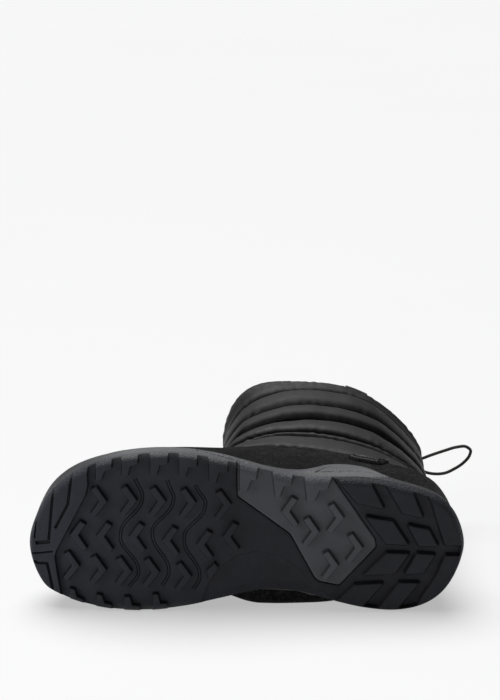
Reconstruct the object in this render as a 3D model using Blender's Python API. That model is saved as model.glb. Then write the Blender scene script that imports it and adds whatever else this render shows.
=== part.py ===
"""Winter boot, left, lying on its inner side with the sole towards the front.

Everything is set out in the boot's own axes, in millimetres: x runs forward from
the back of the heel, y towards the outer side, z up from the ground under the
tread.  lay() then tips the boot on its inner side and turns it into metres.
"""
import bpy
import bmesh
import numpy as np

MM = 0.001

# ------------------------------------------------------------------ main sizes
LEAN = np.radians(2.5)     # how far the sole leans over when the boot lies down
EDGE_UP = 46.0             # sole centre line over the floor when lying
REST_X = 145.79             # brings the origin under the middle of the box
REST_Y = 109.92
TREAD = 3.6                # lug height
SHEET = 2.4                # outsole sheet over the lugs
SLOT = 2.0                 # depth of the narrow cuts
PAD_INSET = 0.9            # toe pad inside the sole's edge
BED = 9.5                  # ground to footbed at the ball
HEEL_LIFT = 7.0            # footbed rise at the heel
SPRING = 13.0              # toe spring
ARCH = 2.0                 # lift of the waist
GAP = 0.3                  # between pieces
UPPER_WALL = 3.0
LINING = 4.0               # shaft wall inside its seams
PUFF = 4.2                 # how far the padding stands out between seams
RAND_WALL = 2.4
RAND_SWELL = 1.6
CORD = 2.4
INSOLE = 4.0
TAG = 1.4
RIBS = 32                  # stations between heel and toe on each side

OUTLINE = (  # station, inner edge, outer edge of the sole
    (5.0, -21.5, 21.5), (14.0, -34.0, 32.0), (27.0, -42.2, 38.2),
    (44.0, -45.7, 43.0), (66.0, -44.0, 47.0), (90.0, -38.3, 48.0),
    (112.0, -33.2, 49.0), (134.0, -32.3, 53.6), (160.0, -37.2, 60.3),
    (186.0, -43.0, 65.0), (212.0, -46.0, 65.0), (236.0, -45.6, 60.6),
    (255.0, -42.6, 52.8), (271.0, -37.6, 41.0), (283.0, -30.3, 25.6),
)
HEEL_TIP = (-1.2, -0.5)
TOE_TIP = (292.3, -3.4)

AXIS = (  # station, middle line of the foot
    (0, -0.5), (60, 1.5), (110, 6.0), (150, 9.5), (200, 9.6), (240, 6.5),
    (270, 1.5), (289.5, -3.0),
)
WIDE = (  # station, inner and outer half width of the foot, ends left open
    (0, 44.0, 44.5), (30, 45.0, 44.5), (60, 46.5, 45.0), (90, 45.5, 44.0),
    (115, 44.0, 44.5), (140, 45.5, 46.5), (165, 49.0, 50.0), (190, 52.5, 53.6),
    (215, 54.5, 54.8), (240, 54.5, 53.0), (265, 52.5, 49.2), (290, 50.0, 46.5),
)
RIDGE = (  # station, height of the foot's top line
    (0, 140), (60, 134), (110, 124), (150, 111), (175, 103), (194, 95),
    (211, 86), (235, 76.5), (262, 66.5), (283, 53), (290, 38),
)
RAND_TOP = (  # station, height of the rand
    (0, 18.5), (14, 18.3), (30, 17.8), (42, 17.6), (50, 19.2), (58, 24.5), (66, 29.5),
    (75, 32.8), (85, 33.0), (92, 30.2), (98, 25.2), (105, 20.0), (113, 17.0),
    (122, 15.8), (132, 16.0), (145, 18.6), (160, 21.2), (185, 22), (220, 22.5),
    (250, 25.5), (275, 33), (290, 38),
)
LEVELS = (
    # level, height and station at the back, at the front, leg half width
    # inner and outer, share of leg, share of vamp, swell, front fullness
    ("feather",   16.5, 4.5, 22.5, 285.5, 45, 45, 0.00, 0.00, 0.925, 2.0),
    ("rand",      28, 2.0, 37, 289.5, 45, 45, 0.00, 0.12, 0.94, 2.0),
    ("toe_top",   37, 1.5, 53, 283.5, 45, 44, 0.00, 0.45, 0.95, 2.0),
    ("vamp",      44, 2.5, 66.5, 262.0, 45, 43, 0.04, 0.90, 0.96, 2.0),
    ("bridge",    48, 3.5, 76.5, 235.0, 45, 42, 0.14, 1.00, 0.97, 2.0),
    ("instep",    52, 5.0, 86, 211.0, 45, 41, 0.36, 1.00, 0.97, 2.0),
    ("throat",    57, 7.0, 95, 194.0, 46, 40, 0.66, 1.00, 0.97, 2.0),
    ("ankle",     74, 10.5, 106, 182.0, 48, 41, 0.92, 1.00, 0.95, 2.0),
    ("fold_low",  92, 12.5, 115, 174.0, 50, 41.7, 1.00, 1.00, 0.95, 2.0),
    ("fold_high", 101, 13.0, 122, 171.0, 51, 42.6, 1.00, 1.00, 0.95, 2.0),
    ("seam_3",    135, 13.5, 149, 166.0, 54, 44.6, 1.00, 1.00, 0.95, 2.0),
    ("seam_2",    167, 13.5, 176, 164.0, 56, 46.3, 1.00, 1.00, 0.95, 2.05),
    ("seam_1",    198, 13.5, 204, 162.5, 57.5, 49.0, 1.00, 1.00, 0.95, 2.2),
    ("rim",       222, 14.0, 226, 162.0, 58, 48.7, 1.00, 1.00, 0.95, 4.0),
)
LEVEL = {row[0]: i/(len(LEVELS) - 1) for i, row in enumerate(LEVELS)}
CHANNELS = ("throat", "fold_low", "fold_high", "seam_3", "seam_2", "seam_1", "rim")

# tread, all in (station, across)
CHEVRON = ((0, 0), (7.0, 10.0), (10.6, 8.0), (5.2, 0.2), (11.2, -8.8), (8.7, -11.2))
CHEVRONS = (  # piece, apex station, apex across, opens towards toe +1 or heel -1
    ("outsole", 238.2, 31.3, 1), ("outsole", 218.1, 32.6, 1), ("outsole", 198.9, 32.2, 1),
    ("outsole", 178.6, 31.2, 1), ("outsole", 155.1, 29.8, 1),
    ("outsole", 263.5, 6.6, -1), ("outsole", 245.8, 6.7, -1), ("outsole", 223.9, 6.9, -1),
    ("outsole", 201.5, 4.4, -1), ("outsole", 178.5, 1.7, -1), ("outsole", 161.0, 7.1, -1),
    ("outsole", 257.6, -15.3, 1), ("outsole", 239.4, -17.0, 1), ("outsole", 222.3, -17.5, 1),
    ("outsole", 203.6, -17.8, 1), ("outsole", 182.0, -21.0, 1),
    ("tread_insert", 121.6, 24.4, -1), ("tread_insert", 96.2, 10.5, 1),
    ("tread_insert", 79.9, 20.6, 1), ("tread_insert", 66.9, -0.6, 1),
    ("tread_insert", 83.2, -13.0, 1),
)
OUTER_LUGS = (  # piece, leading station, long leg, short leg, width
    ("outsole", 245.5, 11.0, 5.0, 10.5), ("outsole", 228.0, 12.5, 5.0, 10.5),
    ("outsole", 209.0, 14.0, 6.0, 11.5), ("outsole", 189.8, 14.5, 6.5, 11.7),
    ("outsole", 170.0, 15.5, 6.5, 12.2),
)
INNER_LUGS = (  # leading station, long leg, short leg, width
    (264.6, 7.5, 2.2, 9.0), (246.4, 8.6, 2.6, 10.0), (227.6, 9.4, 2.8, 10.2),
    (208.4, 11.0, 3.4, 9.6),
)
BLOCKS = (  # piece, corners of the lugs that are neither chevrons nor L shapes
    ("outsole", ((171.9, -16.7), (166.2, -11.3), (164.2, -14.6), (169.9, -24.4))),
    ("tread_insert", ((149.2, 53.8), (149.2, 38.3), (144.9, 38.9), (141.8, 46.4), (138.7, 46.9), (137.7, 52.6))),
    ("tread_insert", ((127.6, 50.6), (125.5, 34.1), (122.4, 35.7), (120.4, 42.1), (115.3, 43.2), (114.3, 48.2))),
    ("tread_insert", ((106.2, 47.4), (104.5, 31.4), (99.4, 32.4), (96.4, 39.4), (92.6, 40.4), (92.0, 47.0))),
    ("outsole", ((82.0, 44.5), (71.8, 30.8), (53.0, 26.7), (62.8, 43.6))),
    ("outsole", ((51.4, 42.6), (40.6, 23.3), (27.2, 20.6), (34.4, 37.8))),
    ("outsole", ((65.4, 21.4), (47.0, 17.9), (36.4, 1.4), (51.4, 2.2))),
    ("outsole", ((37.1, 15.5), (22.9, 12.2), (16.7, 0.4), (29.4, 0.8))),
    ("outsole", ((50.9, -4.3), (36.1, -4.7), (45.3, -18.8), (66.8, -20.3))),
    ("outsole", ((30.4, -4.7), (18.6, -5.5), (26.2, -18.5), (38.5, -19.4))),
    ("outsole", ((72.2, -27.1), (53.2, -25.7), (66.9, -42.6), (84.0, -38.4))),
    ("outsole", ((42.3, -25.5), (28.9, -25.5), (43.3, -44.2), (56.0, -43.9))),
    ("outsole", ((23.0, 34.9), (20.4, 29.5), (11.6, 0.8), (1.4, 0.6), (3.0, 14.6), (8.0, 24.6), (15.0, 31.6))),
    ("outsole", ((11.4, -6.2), (1.6, -6.8), (3.2, -15.0), (8.0, -25.6), (16.0, -34.6), (25.0, -40.0),
                 (27.4, -37.0), (17.0, -20.0))),
)
TOE_PAD = (  # back edge of the raised toe, outer to inner side
    (251.9, 70.0), (251.3, 41.9), (253.0, 34.8), (263.3, 14.7), (273.4, -5.2),
    (274.8, -9.7), (273.4, -20.5), (270.8, -37.3), (270.4, -60.0),
)
SLOTS = (  # name, width, points along the narrow cuts in the toe
    ("toe_1", 1.8, ((260.8, 56.0), (262.1, 47.7), (264.9, 28.1), (273.8, 10.6))),
    ("toe_2", 1.8, ((274.0, 43.0), (274.8, 37.0), (278.4, 2.0))),
    ("toe_3", 2.6, ((277.6, 0.8), (293.0, -2.0))),
    ("toe_4", 1.4, ((293.0, -9.6), (275.8, -6.2))),
    ("toe_5", 1.8, ((291.4, -14.0), (286.1, -15.3), (279.9, -14.8), (275.0, -40.0))),
)
INSERT = (  # outline of the insert, inner corners only
    (151.2, 34.6), (115.7, 7.7), (99.0, -23.3), (95.9, -25.5), (82.5, -28.2),
    (58.1, -1.0), (58.7, 4.4), (88.3, 48.5),
)
INSERT_FRONT, INSERT_BACK = 151.2, 94.0   # how far it runs past the outer edge

CORD_PATH = (  # station, across, height
    (10.4, -3.4, 215.0), (6.5, -1.6, 214.4), (2.3, 0.2, 213.6), (-5.2, 3.0, 213.0),
    (-14.2, 5.7, 213.0), (-21.1, 6.0, 213.0), (-24.6, 3.0, 213.0), (-24.0, -0.6, 213.0),
    (-19.1, -7.0, 213.0), (-12.4, -11.7, 213.0), (-5.6, -14.9, 213.0), (0.5, -15.7, 213.2),
    (7.0, -15.2, 214.0), (11.6, -14.0, 215.0),
)


# ------------------------------------------------------------------ curves
def through(rows, x):
    """Smooth curve through table rows (position, value)."""
    xs, ys = np.array(rows, float).T[:2]
    x = np.asarray(x, float)
    m = np.gradient(ys, xs)
    i = np.clip(np.searchsorted(xs, x) - 1, 0, len(xs) - 2)
    h = xs[i + 1] - xs[i]
    t = np.clip((x - xs[i])/h, 0, 1)
    return ((2*t**3 - 3*t**2 + 1)*ys[i] + (t**3 - 2*t**2 + t)*h*m[i]
            + (3*t**2 - 2*t**3)*ys[i + 1] + (t**3 - t**2)*h*m[i + 1])


def smooth(a, b, x):
    t = np.clip((np.asarray(x, float) - a)/(b - a), 0, 1)
    return t*t*(3 - 2*t)


def edge_curve():
    """Closed sole outline, heel to toe on the outer side and back on the inner."""
    outer = [(x, o) for x, i, o in OUTLINE]
    inner = [(x, i) for x, i, o in OUTLINE][::-1]
    p = np.array([HEEL_TIP] + outer + [TOE_TIP] + inner, float)
    q = np.vstack([p[-3:], p, p[:4]])
    s = np.concatenate([[0], np.cumsum(np.hypot(*np.diff(q, axis=0).T)**0.5)])
    u = np.linspace(s[3], s[3 + len(p)], 2400, endpoint=False)
    e = np.stack([through(np.stack([s, q[:, k]], 1), u) for k in (0, 1)], 1)
    return np.roll(e, -e[:, 0].argmin(), axis=0)


EDGE = edge_curve()
TIP = EDGE[:, 0].argmax()
OUTER_EDGE = EDGE[:TIP + 1]
INNER_EDGE = np.vstack([EDGE[TIP:], EDGE[:1]])[::-1]
HEEL_X, TOE_X = EDGE[0, 0], EDGE[TIP, 0]


def outer(x):
    return np.interp(x, OUTER_EDGE[:, 0], OUTER_EDGE[:, 1])


def inner(x):
    return np.interp(x, INNER_EDGE[:, 0], INNER_EDGE[:, 1])


def axis(x):
    return through(AXIS, np.clip(x, 0, 289.5))


def wide(x, side):
    return np.where(side > 0, through([(a, c) for a, b, c in WIDE], x),
                    through([(a, b) for a, b, c in WIDE], x))


def ground(x):
    """Underside of the tread: flat at heel and ball, toe spring, lifted waist."""
    x = np.asarray(x, float)
    toe = SPRING*np.clip((x - 205)/85, 0, 1.05)**2
    heel = 2.5*np.clip((22 - x)/22, 0, 1.2)**2
    return toe + heel + ARCH*np.exp(-((x - 126)/28)**4)


def footbed(x):
    return ground(x) - ARCH*np.exp(-((x - 126)/28)**4) + BED + HEEL_LIFT*(1 - smooth(60, 185, x))


def rand_top(x):
    return through(RAND_TOP, x)


# ------------------------------------------------------------------ the foot's skin
I = np.arange(RIBS + 1)
HALF = (1 - np.cos(np.pi*I/RIBS))/2
XI = np.concatenate([HALF, HALF[1:-1][::-1]])
SIDE = np.concatenate([np.ones(RIBS + 1), -np.ones(RIBS - 1)])


def level(col, v):
    return through([(i, row[col]) for i, row in enumerate(LEVELS)],
                   np.asarray(v, float)*(len(LEVELS) - 1))


def rounding(xi, side):
    """How the sole's outline closes in at heel and toe, 1 between them."""
    x = HEEL_X + xi*(TOE_X - HEEL_X)
    w = np.where(side > 0, outer(x) - axis(x), axis(x) - inner(x))
    free = np.where(xi < 0.5, smooth(0.0, 0.30, xi), smooth(1.0, 0.80, xi))
    return np.maximum(np.clip(w/wide(x, side), 0, 1.2)*(1 - free) + free, 1e-5)


def skin(v, xi, side):
    """Point on the boot's outside: v 0 at the sole to 1 at the rim."""
    v, xi, side = np.broadcast_arrays(np.asarray(v, float), xi, side)
    zb, xb, zf, xf = level(1, v), level(2, v), level(3, v), level(4, v)
    x = xb + xi*(xf - xb)
    sag = footbed(x) - footbed(xb)*(1 - xi) - footbed(xf)*xi
    z = zb + (zf - zb)*xi + (1 - smooth(0, LEVEL["bridge"], v))*sag
    base = footbed(x)
    t = np.clip((z - base)/np.maximum(through(RIDGE, x) - base, 1), 0, 1)
    dome = np.maximum((1 - t**(1.3 + 2.4*smooth(200, 100, x)))**0.5, 1e-4)
    vamp = np.clip(level(8, v), 0, 1)
    ends = rounding(xi, side)
    foot = wide(x, side)*level(9, v)*np.where(xi < 0.5, ends, ends**(1 - vamp))*dome**vamp
    back = (side > 0) & (xi < 0.5)
    full = np.where((side > 0) & ~back, level(10, v), 2.05)
    droop = np.where(back, 0.22*smooth(LEVEL["ankle"], LEVEL["seam_1"], v), 0)
    oval = np.clip(1 - np.abs(2*xi - 1)**full, 1e-10, 1)**(0.5 + droop)
    leg = np.where(side > 0, level(6, v), level(5, v))*oval
    share = np.clip(level(7, v), 0, 1)
    w = np.maximum(foot, 1e-5)**(1 - share)*leg**share
    return np.stack([x, axis(x) + side*w, z], -1)


def normals(p):
    """Outward normals of a grid of rows around the boot."""
    along = np.gradient(p, axis=0)
    round_ = np.roll(p, -1, axis=1) - np.roll(p, 1, axis=1)
    n = np.cross(along, round_)
    n /= np.linalg.norm(n, axis=-1, keepdims=True)
    out = p - p.mean(axis=1, keepdims=True)
    return n*np.sign((n*out).sum())


def lay(p):
    """Boot axes to the lying boot, in metres."""
    x, y, z = np.moveaxis(np.asarray(p, float), -1, 0)
    s, c = np.sin(LEAN), np.cos(LEAN)
    return MM*np.stack([REST_X - x, -(y + EDGE_UP)*s + z*c - REST_Y,
                        (y + EDGE_UP)*c + z*s], -1)


def settle(p, least):
    """Keep lying points at least so far over the floor."""
    q = lay(p)
    q[..., 2] = np.maximum(q[..., 2], least*MM)
    return q


# ------------------------------------------------------------------ meshes
def material(name, colour, rough):
    m = bpy.data.materials.new(name)
    m.use_nodes = True
    b = m.node_tree.nodes["Principled BSDF"]
    b.inputs["Base Color"].default_value = (*colour, 1)
    b.inputs["Roughness"].default_value = rough
    return m


def solid(name, verts, faces, mat):
    me = bpy.data.meshes.new(name)
    me.from_pydata([tuple(v) for v in verts], [], faces)
    bm = bmesh.new()
    bm.from_mesh(me)
    bmesh.ops.recalc_face_normals(bm, faces=bm.faces)
    bm.to_mesh(me)
    bm.free()
    ob = bpy.data.objects.new(name, me)
    if mat:
        me.materials.append(mat)
    bpy.context.scene.collection.objects.link(ob)
    return ob


def band_faces(rows, n, loop):
    f = []
    for k in range(rows if loop else rows - 1):
        a, b = k*n, ((k + 1) % rows)*n
        f += [(a + j, a + (j + 1) % n, b + (j + 1) % n, b + j) for j in range(n)]
    return f


def strip_faces(start, n):
    """Fill a ring with strips from the outer to the inner side."""
    m = n//2
    f = [(start, start + 1, start + n - 1), (start + m, start + m + 1, start + m - 1)]
    f += [(start + j, start + j + 1, start + n - j - 1, start + n - j) for j in range(1, m - 1)]
    return f


def hollow(name, outside, inside, mat):
    rows = np.concatenate([outside, inside[::-1]])
    n = rows.shape[1]
    return solid(name, rows.reshape(-1, 3), band_faces(len(rows), n, True), mat)


def capped(name, rows, mat):
    n = rows.shape[1]
    f = band_faces(len(rows), n, False) + strip_faces(0, n) + strip_faces((len(rows) - 1)*n, n)
    return solid(name, rows.reshape(-1, 3), f, mat)


def prism(name, corners, low, high):
    """Upright block over a polygon; low and high give heights over (x, y)."""
    c = np.array(corners, float)
    if np.sum(c[:, 0]*np.roll(c[:, 1], -1) - np.roll(c[:, 0], -1)*c[:, 1]) < 0:
        c = c[::-1]
    n = len(c)
    bottom = lay(np.stack([c[:, 0], c[:, 1], low(c[:, 0], c[:, 1])], -1))
    top = lay(np.stack([c[:, 0], c[:, 1], high(c[:, 0], c[:, 1])], -1))
    f = [tuple(range(n))[::-1], tuple(range(n, 2*n))]
    f += [(j, (j + 1) % n, n + (j + 1) % n, n + j) for j in range(n)]
    return np.concatenate([bottom, top]), f


def combine(ob, cutter, how):
    mod = ob.modifiers.new(how.lower(), "BOOLEAN")
    mod.operation, mod.solver, mod.object = how, "EXACT", cutter
    done = ob.evaluated_get(bpy.context.evaluated_depsgraph_get())
    me = bpy.data.meshes.new_from_object(done)
    ob.modifiers.clear()
    ob.data = me
    bpy.data.objects.remove(cutter)


# ------------------------------------------------------------------ pieces
def upper_walls():
    """Outside and inside rows of the upper, sole to throat."""
    v = LEVEL["throat"]*np.array([0, .10, .20, .30, .40, .50, .60, .70, .80, .90, .995])
    p = skin(v[:, None], XI, SIDE)
    q = p - UPPER_WALL*normals(p)
    p[0, :, 2] = footbed(p[0, :, 0])
    q[0, :, 2] = footbed(q[0, :, 0])
    return p, q[::2]


def make_upper(mat):
    p, q = upper_walls()
    return hollow("upper", settle(p, 0.0), settle(q, UPPER_WALL), mat)


def channel_rows():
    """Levels and padding of the shaft, seam by seam."""
    v, puff = [], []
    for a, b in zip(CHANNELS[:-1], CHANNELS[1:]):
        steps = 3 if a == "fold_low" else 5
        for k in range(steps):
            t = k/steps
            v.append(LEVEL[a] + t*(LEVEL[b] - LEVEL[a]))
            puff.append((0.35 if a == "fold_low" else 1.0)*PUFF*np.sin(np.pi*t)**0.7)
    return np.array(v), np.array(puff)


COLLAR_FROM = LEVEL["seam_1"] + 0.62*(LEVEL["rim"] - LEVEL["seam_1"])


def make_shaft(mat):
    v, puff = channel_rows()
    keep = v < COLLAR_FROM - 0.006
    v, puff = np.append(v[keep], COLLAR_FROM - 0.0014), np.append(puff[keep], 2.4)
    v[0] += 0.0012
    p = skin(v[:, None], XI, SIDE)
    n = normals(p)
    flat = 1 - 0.85*(v < LEVEL["fold_low"])[:, None]*smooth(0.6, 0.9, XI)
    outside = settle(p + (puff[:, None]*flat)[..., None]*n, 0.0)
    few = np.linspace(0, len(v) - 1, 9).round().astype(int)
    inside = settle((p - LINING*n)[few], LINING)
    return hollow("shaft", outside, inside, mat)


def make_collar(mat):
    v = COLLAR_FROM + (1 - COLLAR_FROM)*np.array([0, .35, .7, 1.0])
    p = skin(v[:, None], XI, SIDE)
    n = normals(p)
    swell = np.array([1.8, 2.6, 2.0, 0.0])
    outside = settle(p + swell[:, None, None]*n, 0.0)
    inside = settle(p - np.array([LINING, LINING, 3.4, 2.0])[:, None, None]*n, LINING)
    return hollow("collar", outside, inside, mat)


def sideways(ring):
    """Outward direction of a ring seen from above."""
    t = np.roll(ring, -1, axis=0) - np.roll(ring, 1, axis=0)
    n = np.stack([-t[:, 1], t[:, 0], 0*t[:, 0]], 1)
    return n/np.linalg.norm(n, axis=1, keepdims=True)


def sole_ring(z):
    """Sole outline at heights z(x)."""
    x = HEEL_X + XI*(TOE_X - HEEL_X)
    return np.column_stack([x, np.where(SIDE > 0, outer(x), inner(x)), z(x)])


def make_midsole(mat):
    fine = np.linspace(0, LEVEL["throat"], 61)
    p = skin(fine[:, None], XI, SIDE)
    n = normals(p)
    stop = np.array([np.interp(rand_top(p[0, j, 0]), p[:, j, 2], fine) for j in range(len(XI))])
    rows = []
    bottom = sole_ring(lambda x: ground(x) + TREAD + SHEET + GAP)

    def on_skin(share, off):
        v = stop*share
        i = np.clip(np.searchsorted(fine, v) - 1, 0, len(fine) - 2)
        t = ((v - fine[i])/(fine[i + 1] - fine[i]))[:, None]
        j = np.arange(len(XI))
        pos = p[i, j]*(1 - t) + p[i + 1, j]*t
        nor = n[i, j]*(1 - t) + n[i + 1, j]*t
        return pos + off*nor

    lip = on_skin(1.0, GAP + RAND_WALL)
    lip[:, 2] -= 1.0
    for s in (0.0, 0.25, 0.5, 0.75, 1.0):
        row = bottom*(1 - s) + lip*s
        rows.append(settle(row + RAND_SWELL*np.sin(np.pi*s)*sideways(bottom), 0.0))
    for share in (1.0, 0.5):
        rows.append(settle(on_skin(share, GAP), 0.6))
    foot = on_skin(0.0, GAP)
    foot[:, 2] = footbed(foot[:, 0]) - GAP
    rows.append(settle(foot, 0.6))
    return capped("midsole", np.array(rows), mat)


def make_insole(mat):
    p, q = upper_walls()
    rows = []
    for share, rise in ((0.0, 0.0), (0.3, INSOLE)):
        r = q[0]*(1 - share) + q[1]*share
        r = r - 2*GAP*sideways(r)
        r[:, 2] = footbed(r[:, 0]) + rise
        rows.append(lay(r))
    return capped("insole", np.array(rows), mat)


def sheet(name, thin, mat):
    low = sole_ring(lambda x: ground(x) + TREAD)
    high = sole_ring(lambda x: ground(x) + TREAD + SHEET - thin)
    return capped(name, np.array([settle(low, 0.0), settle(high, 0.0)]), mat)


def insert_corners(grow):
    xs = np.linspace(INSERT_BACK, INSERT_FRONT, 7)
    edge = [(x, outer(x) + 8.0) for x in xs]
    c = np.array(edge + list(INSERT), float)
    a = np.roll(c, 1, axis=0) - c
    b = np.roll(c, -1, axis=0) - c
    a /= np.linalg.norm(a, axis=1, keepdims=True)
    b /= np.linalg.norm(b, axis=1, keepdims=True)
    na, nb = np.stack([-a[:, 1], a[:, 0]], 1), np.stack([b[:, 1], -b[:, 0]], 1)
    m = na + nb
    m /= (m*na).sum(axis=1, keepdims=True)
    area = np.sum(c[:, 0]*np.roll(c[:, 1], -1) - np.roll(c[:, 0], -1)*c[:, 1])
    return c + grow*np.sign(area)*m


def l_lug(edge, station, long_leg, short_leg, width, sign):
    def e(x):
        return edge(x) - sign*1.0
    a, b, c = station, station - 0.36*width, station - 0.54*width
    d = station - width
    return ((a, e(a)), (a, e(a) - sign*long_leg), (b, e(b) - sign*long_leg),
            (c, e(c) - sign*short_leg*1.2), (d, e(d) - sign*short_leg), (d, e(d)),
            ((a + d)/2, e((a + d)/2)))


def lug_shapes():
    found = {"outsole": [], "tread_insert": []}
    for piece, x, y, way in CHEVRONS:
        found[piece].append([(x + way*dx, y + dy) for dx, dy in CHEVRON])
    for piece, x, long_leg, short_leg, width in OUTER_LUGS:
        found[piece].append(l_lug(outer, x, long_leg, short_leg, width, 1))
    for x, long_leg, short_leg, width in INNER_LUGS:
        found["outsole"].append(l_lug(inner, x, long_leg, short_leg, width, -1))
    for piece, corners in BLOCKS:
        found[piece].append(corners)
    return found


def add_lugs(ob, shapes):
    verts, faces = [], []
    for c in shapes:
        v, f = prism("", c, lambda x, y: ground(x), lambda x, y: ground(x) + TREAD + 0.8)
        faces += [tuple(k + len(verts) for k in g) for g in f]
        verts += list(v)
    combine(ob, solid("lugs", verts, faces, None), "UNION")


def cutter(corners):
    v, f = prism("", corners, lambda x, y: 0*x - 30, lambda x, y: 0*x + 60)
    return solid("cut", v, f, None)


def pad(edge, beyond):
    """Raised end of the tread, past an edge line."""
    rows = []
    for rise in (0.0, TREAD + 0.8):
        r = sole_ring(ground)
        r = r - PAD_INSET*sideways(r)
        r[:, 2] = ground(r[:, 0]) + rise
        rows.append(lay(r))
    ob = capped("pad", np.array(rows), None)
    combine(ob, cutter(list(edge) + [(beyond, -60.0), (beyond, 70.0)]), "INTERSECT")
    return ob


def slot_corners(width, points):
    """Outline of a narrow cut along a bent line."""
    p = np.array(points, float)
    t = np.diff(p, axis=0)
    t /= np.linalg.norm(t, axis=1, keepdims=True)
    n = np.stack([-t[:, 1], t[:, 0]], 1)
    m = np.vstack([n[:1], n[:-1] + n[1:], n[-1:]])
    m /= (m*np.vstack([n[:1], n])).sum(axis=1, keepdims=True)
    return np.vstack([p + width/2*m, (p - width/2*m)[::-1]])


def hollow_out(ob, corners, depth):
    v, f = prism("", corners, lambda x, y: 0*x - 30, lambda x, y: ground(x) + depth)
    combine(ob, solid("cut", v, f, None), "DIFFERENCE")


def make_outsole(mat):
    ob = sheet("outsole", 0.0, mat)
    combine(ob, cutter(insert_corners(GAP/2)), "DIFFERENCE")
    add_lugs(ob, lug_shapes()["outsole"])
    combine(ob, pad(TOE_PAD, 310.0), "UNION")
    for name, width, points in SLOTS:
        hollow_out(ob, slot_corners(width, points), SLOT)
    return ob


def make_insert(mat):
    ob = sheet("tread_insert", 0.0, mat)
    combine(ob, cutter(insert_corners(-GAP/2)), "INTERSECT")
    add_lugs(ob, lug_shapes()["tread_insert"])
    return ob


def make_tag(mat):
    """Webbing tab sewn over the outside of the collar."""
    xi = np.linspace(0.27, 0.38, 5)
    v = COLLAR_FROM + (1 - COLLAR_FROM)*np.array([0.30, 0.62, 1.0])
    p = skin(v[:, None], xi, np.ones(5))
    stand = np.array([3.0, 3.0, 2.6])[:, None]
    low = p + np.stack([0*stand, stand, 0*stand], -1)
    low[2, :, 2] += 3.0
    out = low + np.array((0, TAG, 0))
    n, m = low.shape[:2]
    rows = np.concatenate([low, out[::-1]])
    f = []
    for k in range(2*n):
        a, b = k*m, ((k + 1) % (2*n))*m
        f += [(a + j, a + j + 1, b + j + 1, b + j) for j in range(m - 1)]
    for j in (0, m - 1):
        f += [(k*m + j, (k + 1)*m + j, (2*n - 2 - k)*m + j, (2*n - 1 - k)*m + j) for k in range(n - 1)]
    return solid("collar_tag", lay(rows).reshape(-1, 3), f, mat)


def make_cord(mat):
    p = np.array(CORD_PATH, float)
    s = np.concatenate([[0], np.cumsum(np.linalg.norm(np.diff(p, axis=0), axis=1))])
    u = np.linspace(0, s[-1], 34)
    c = np.stack([through(np.stack([s, p[:, k]], 1), u) for k in range(3)], 1)
    t = np.gradient(c, axis=0)
    t /= np.linalg.norm(t, axis=1, keepdims=True)
    up = np.array((0.0, 0.0, 1.0))
    a = np.cross(t, up)
    a /= np.linalg.norm(a, axis=1, keepdims=True)
    b = np.cross(a, t)
    ang = np.arange(8)*np.pi/4
    rows = c[:, None] + CORD/2*(np.cos(ang)[None, :, None]*a[:, None] + np.sin(ang)[None, :, None]*b[:, None])
    f = band_faces(len(rows), 8, False) + [tuple(range(8)), tuple(range((len(rows) - 1)*8, len(rows)*8))]
    return solid("drawcord_loop", lay(rows).reshape(-1, 3), f, mat)


def build():
    for ob in list(bpy.data.objects):
        bpy.data.objects.remove(ob)
    make_outsole(material("tread_rubber", (0.022, 0.022, 0.026), 0.62))
    make_insert(material("grey_rubber", (0.050, 0.051, 0.056), 0.60))
    make_midsole(material("rand_rubber", (0.130, 0.130, 0.133), 0.58))
    make_insole(material("footbed_felt", (0.05, 0.05, 0.052), 0.9))
    make_upper(material("suede", (0.022, 0.022, 0.022), 0.95))
    make_shaft(material("quilted_nylon", (0.045, 0.044, 0.044), 0.55))
    make_collar(material("rim_nylon", (0.040, 0.040, 0.040), 0.6))
    make_tag(material("tag_fabric", (0.008, 0.008, 0.008), 0.7))
    make_cord(material("elastic_cord", (0.02, 0.018, 0.017), 0.7))


build()
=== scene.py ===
"""Looks of the winter boot: left boot lying on its inner side, sole to the front.

As in the part, shapes are set out in the boot's own axes in millimetres (x forward
from the heel, y to the outer side, z up from the ground) and lay() brings them to the
lying boot in metres.
"""

import bpy
import numpy as np
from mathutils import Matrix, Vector
from mathutils.geometry import delaunay_2d_cdt


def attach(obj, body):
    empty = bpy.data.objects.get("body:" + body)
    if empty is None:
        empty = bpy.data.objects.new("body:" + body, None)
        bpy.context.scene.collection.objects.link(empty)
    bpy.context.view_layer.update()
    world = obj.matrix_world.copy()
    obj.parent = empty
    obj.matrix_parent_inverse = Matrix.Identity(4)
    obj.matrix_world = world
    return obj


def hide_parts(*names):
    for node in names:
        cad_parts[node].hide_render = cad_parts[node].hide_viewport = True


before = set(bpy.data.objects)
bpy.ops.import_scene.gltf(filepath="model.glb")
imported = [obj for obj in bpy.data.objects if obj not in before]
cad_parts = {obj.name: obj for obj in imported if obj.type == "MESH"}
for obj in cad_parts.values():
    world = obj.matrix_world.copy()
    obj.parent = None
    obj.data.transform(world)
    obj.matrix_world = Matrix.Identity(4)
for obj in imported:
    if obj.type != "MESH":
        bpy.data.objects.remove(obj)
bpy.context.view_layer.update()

MM = 0.001
LEAN = np.radians(2.5)
EDGE_UP = 46.0
REST_X = 145.79
REST_Y = 109.92
TREAD = 3.6
SHEET = 2.4
BED = 9.5
HEEL_LIFT = 7.0
SPRING = 13.0
ARCH = 2.0
GAP = 0.3
UPPER_WALL = 3.0
LINING = 4.0
PUFF = 4.2
RAND_WALL = 2.4
RAND_SWELL = 1.6
CORD = 2.4
INSOLE = 4.0
TAG = 1.4

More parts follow.
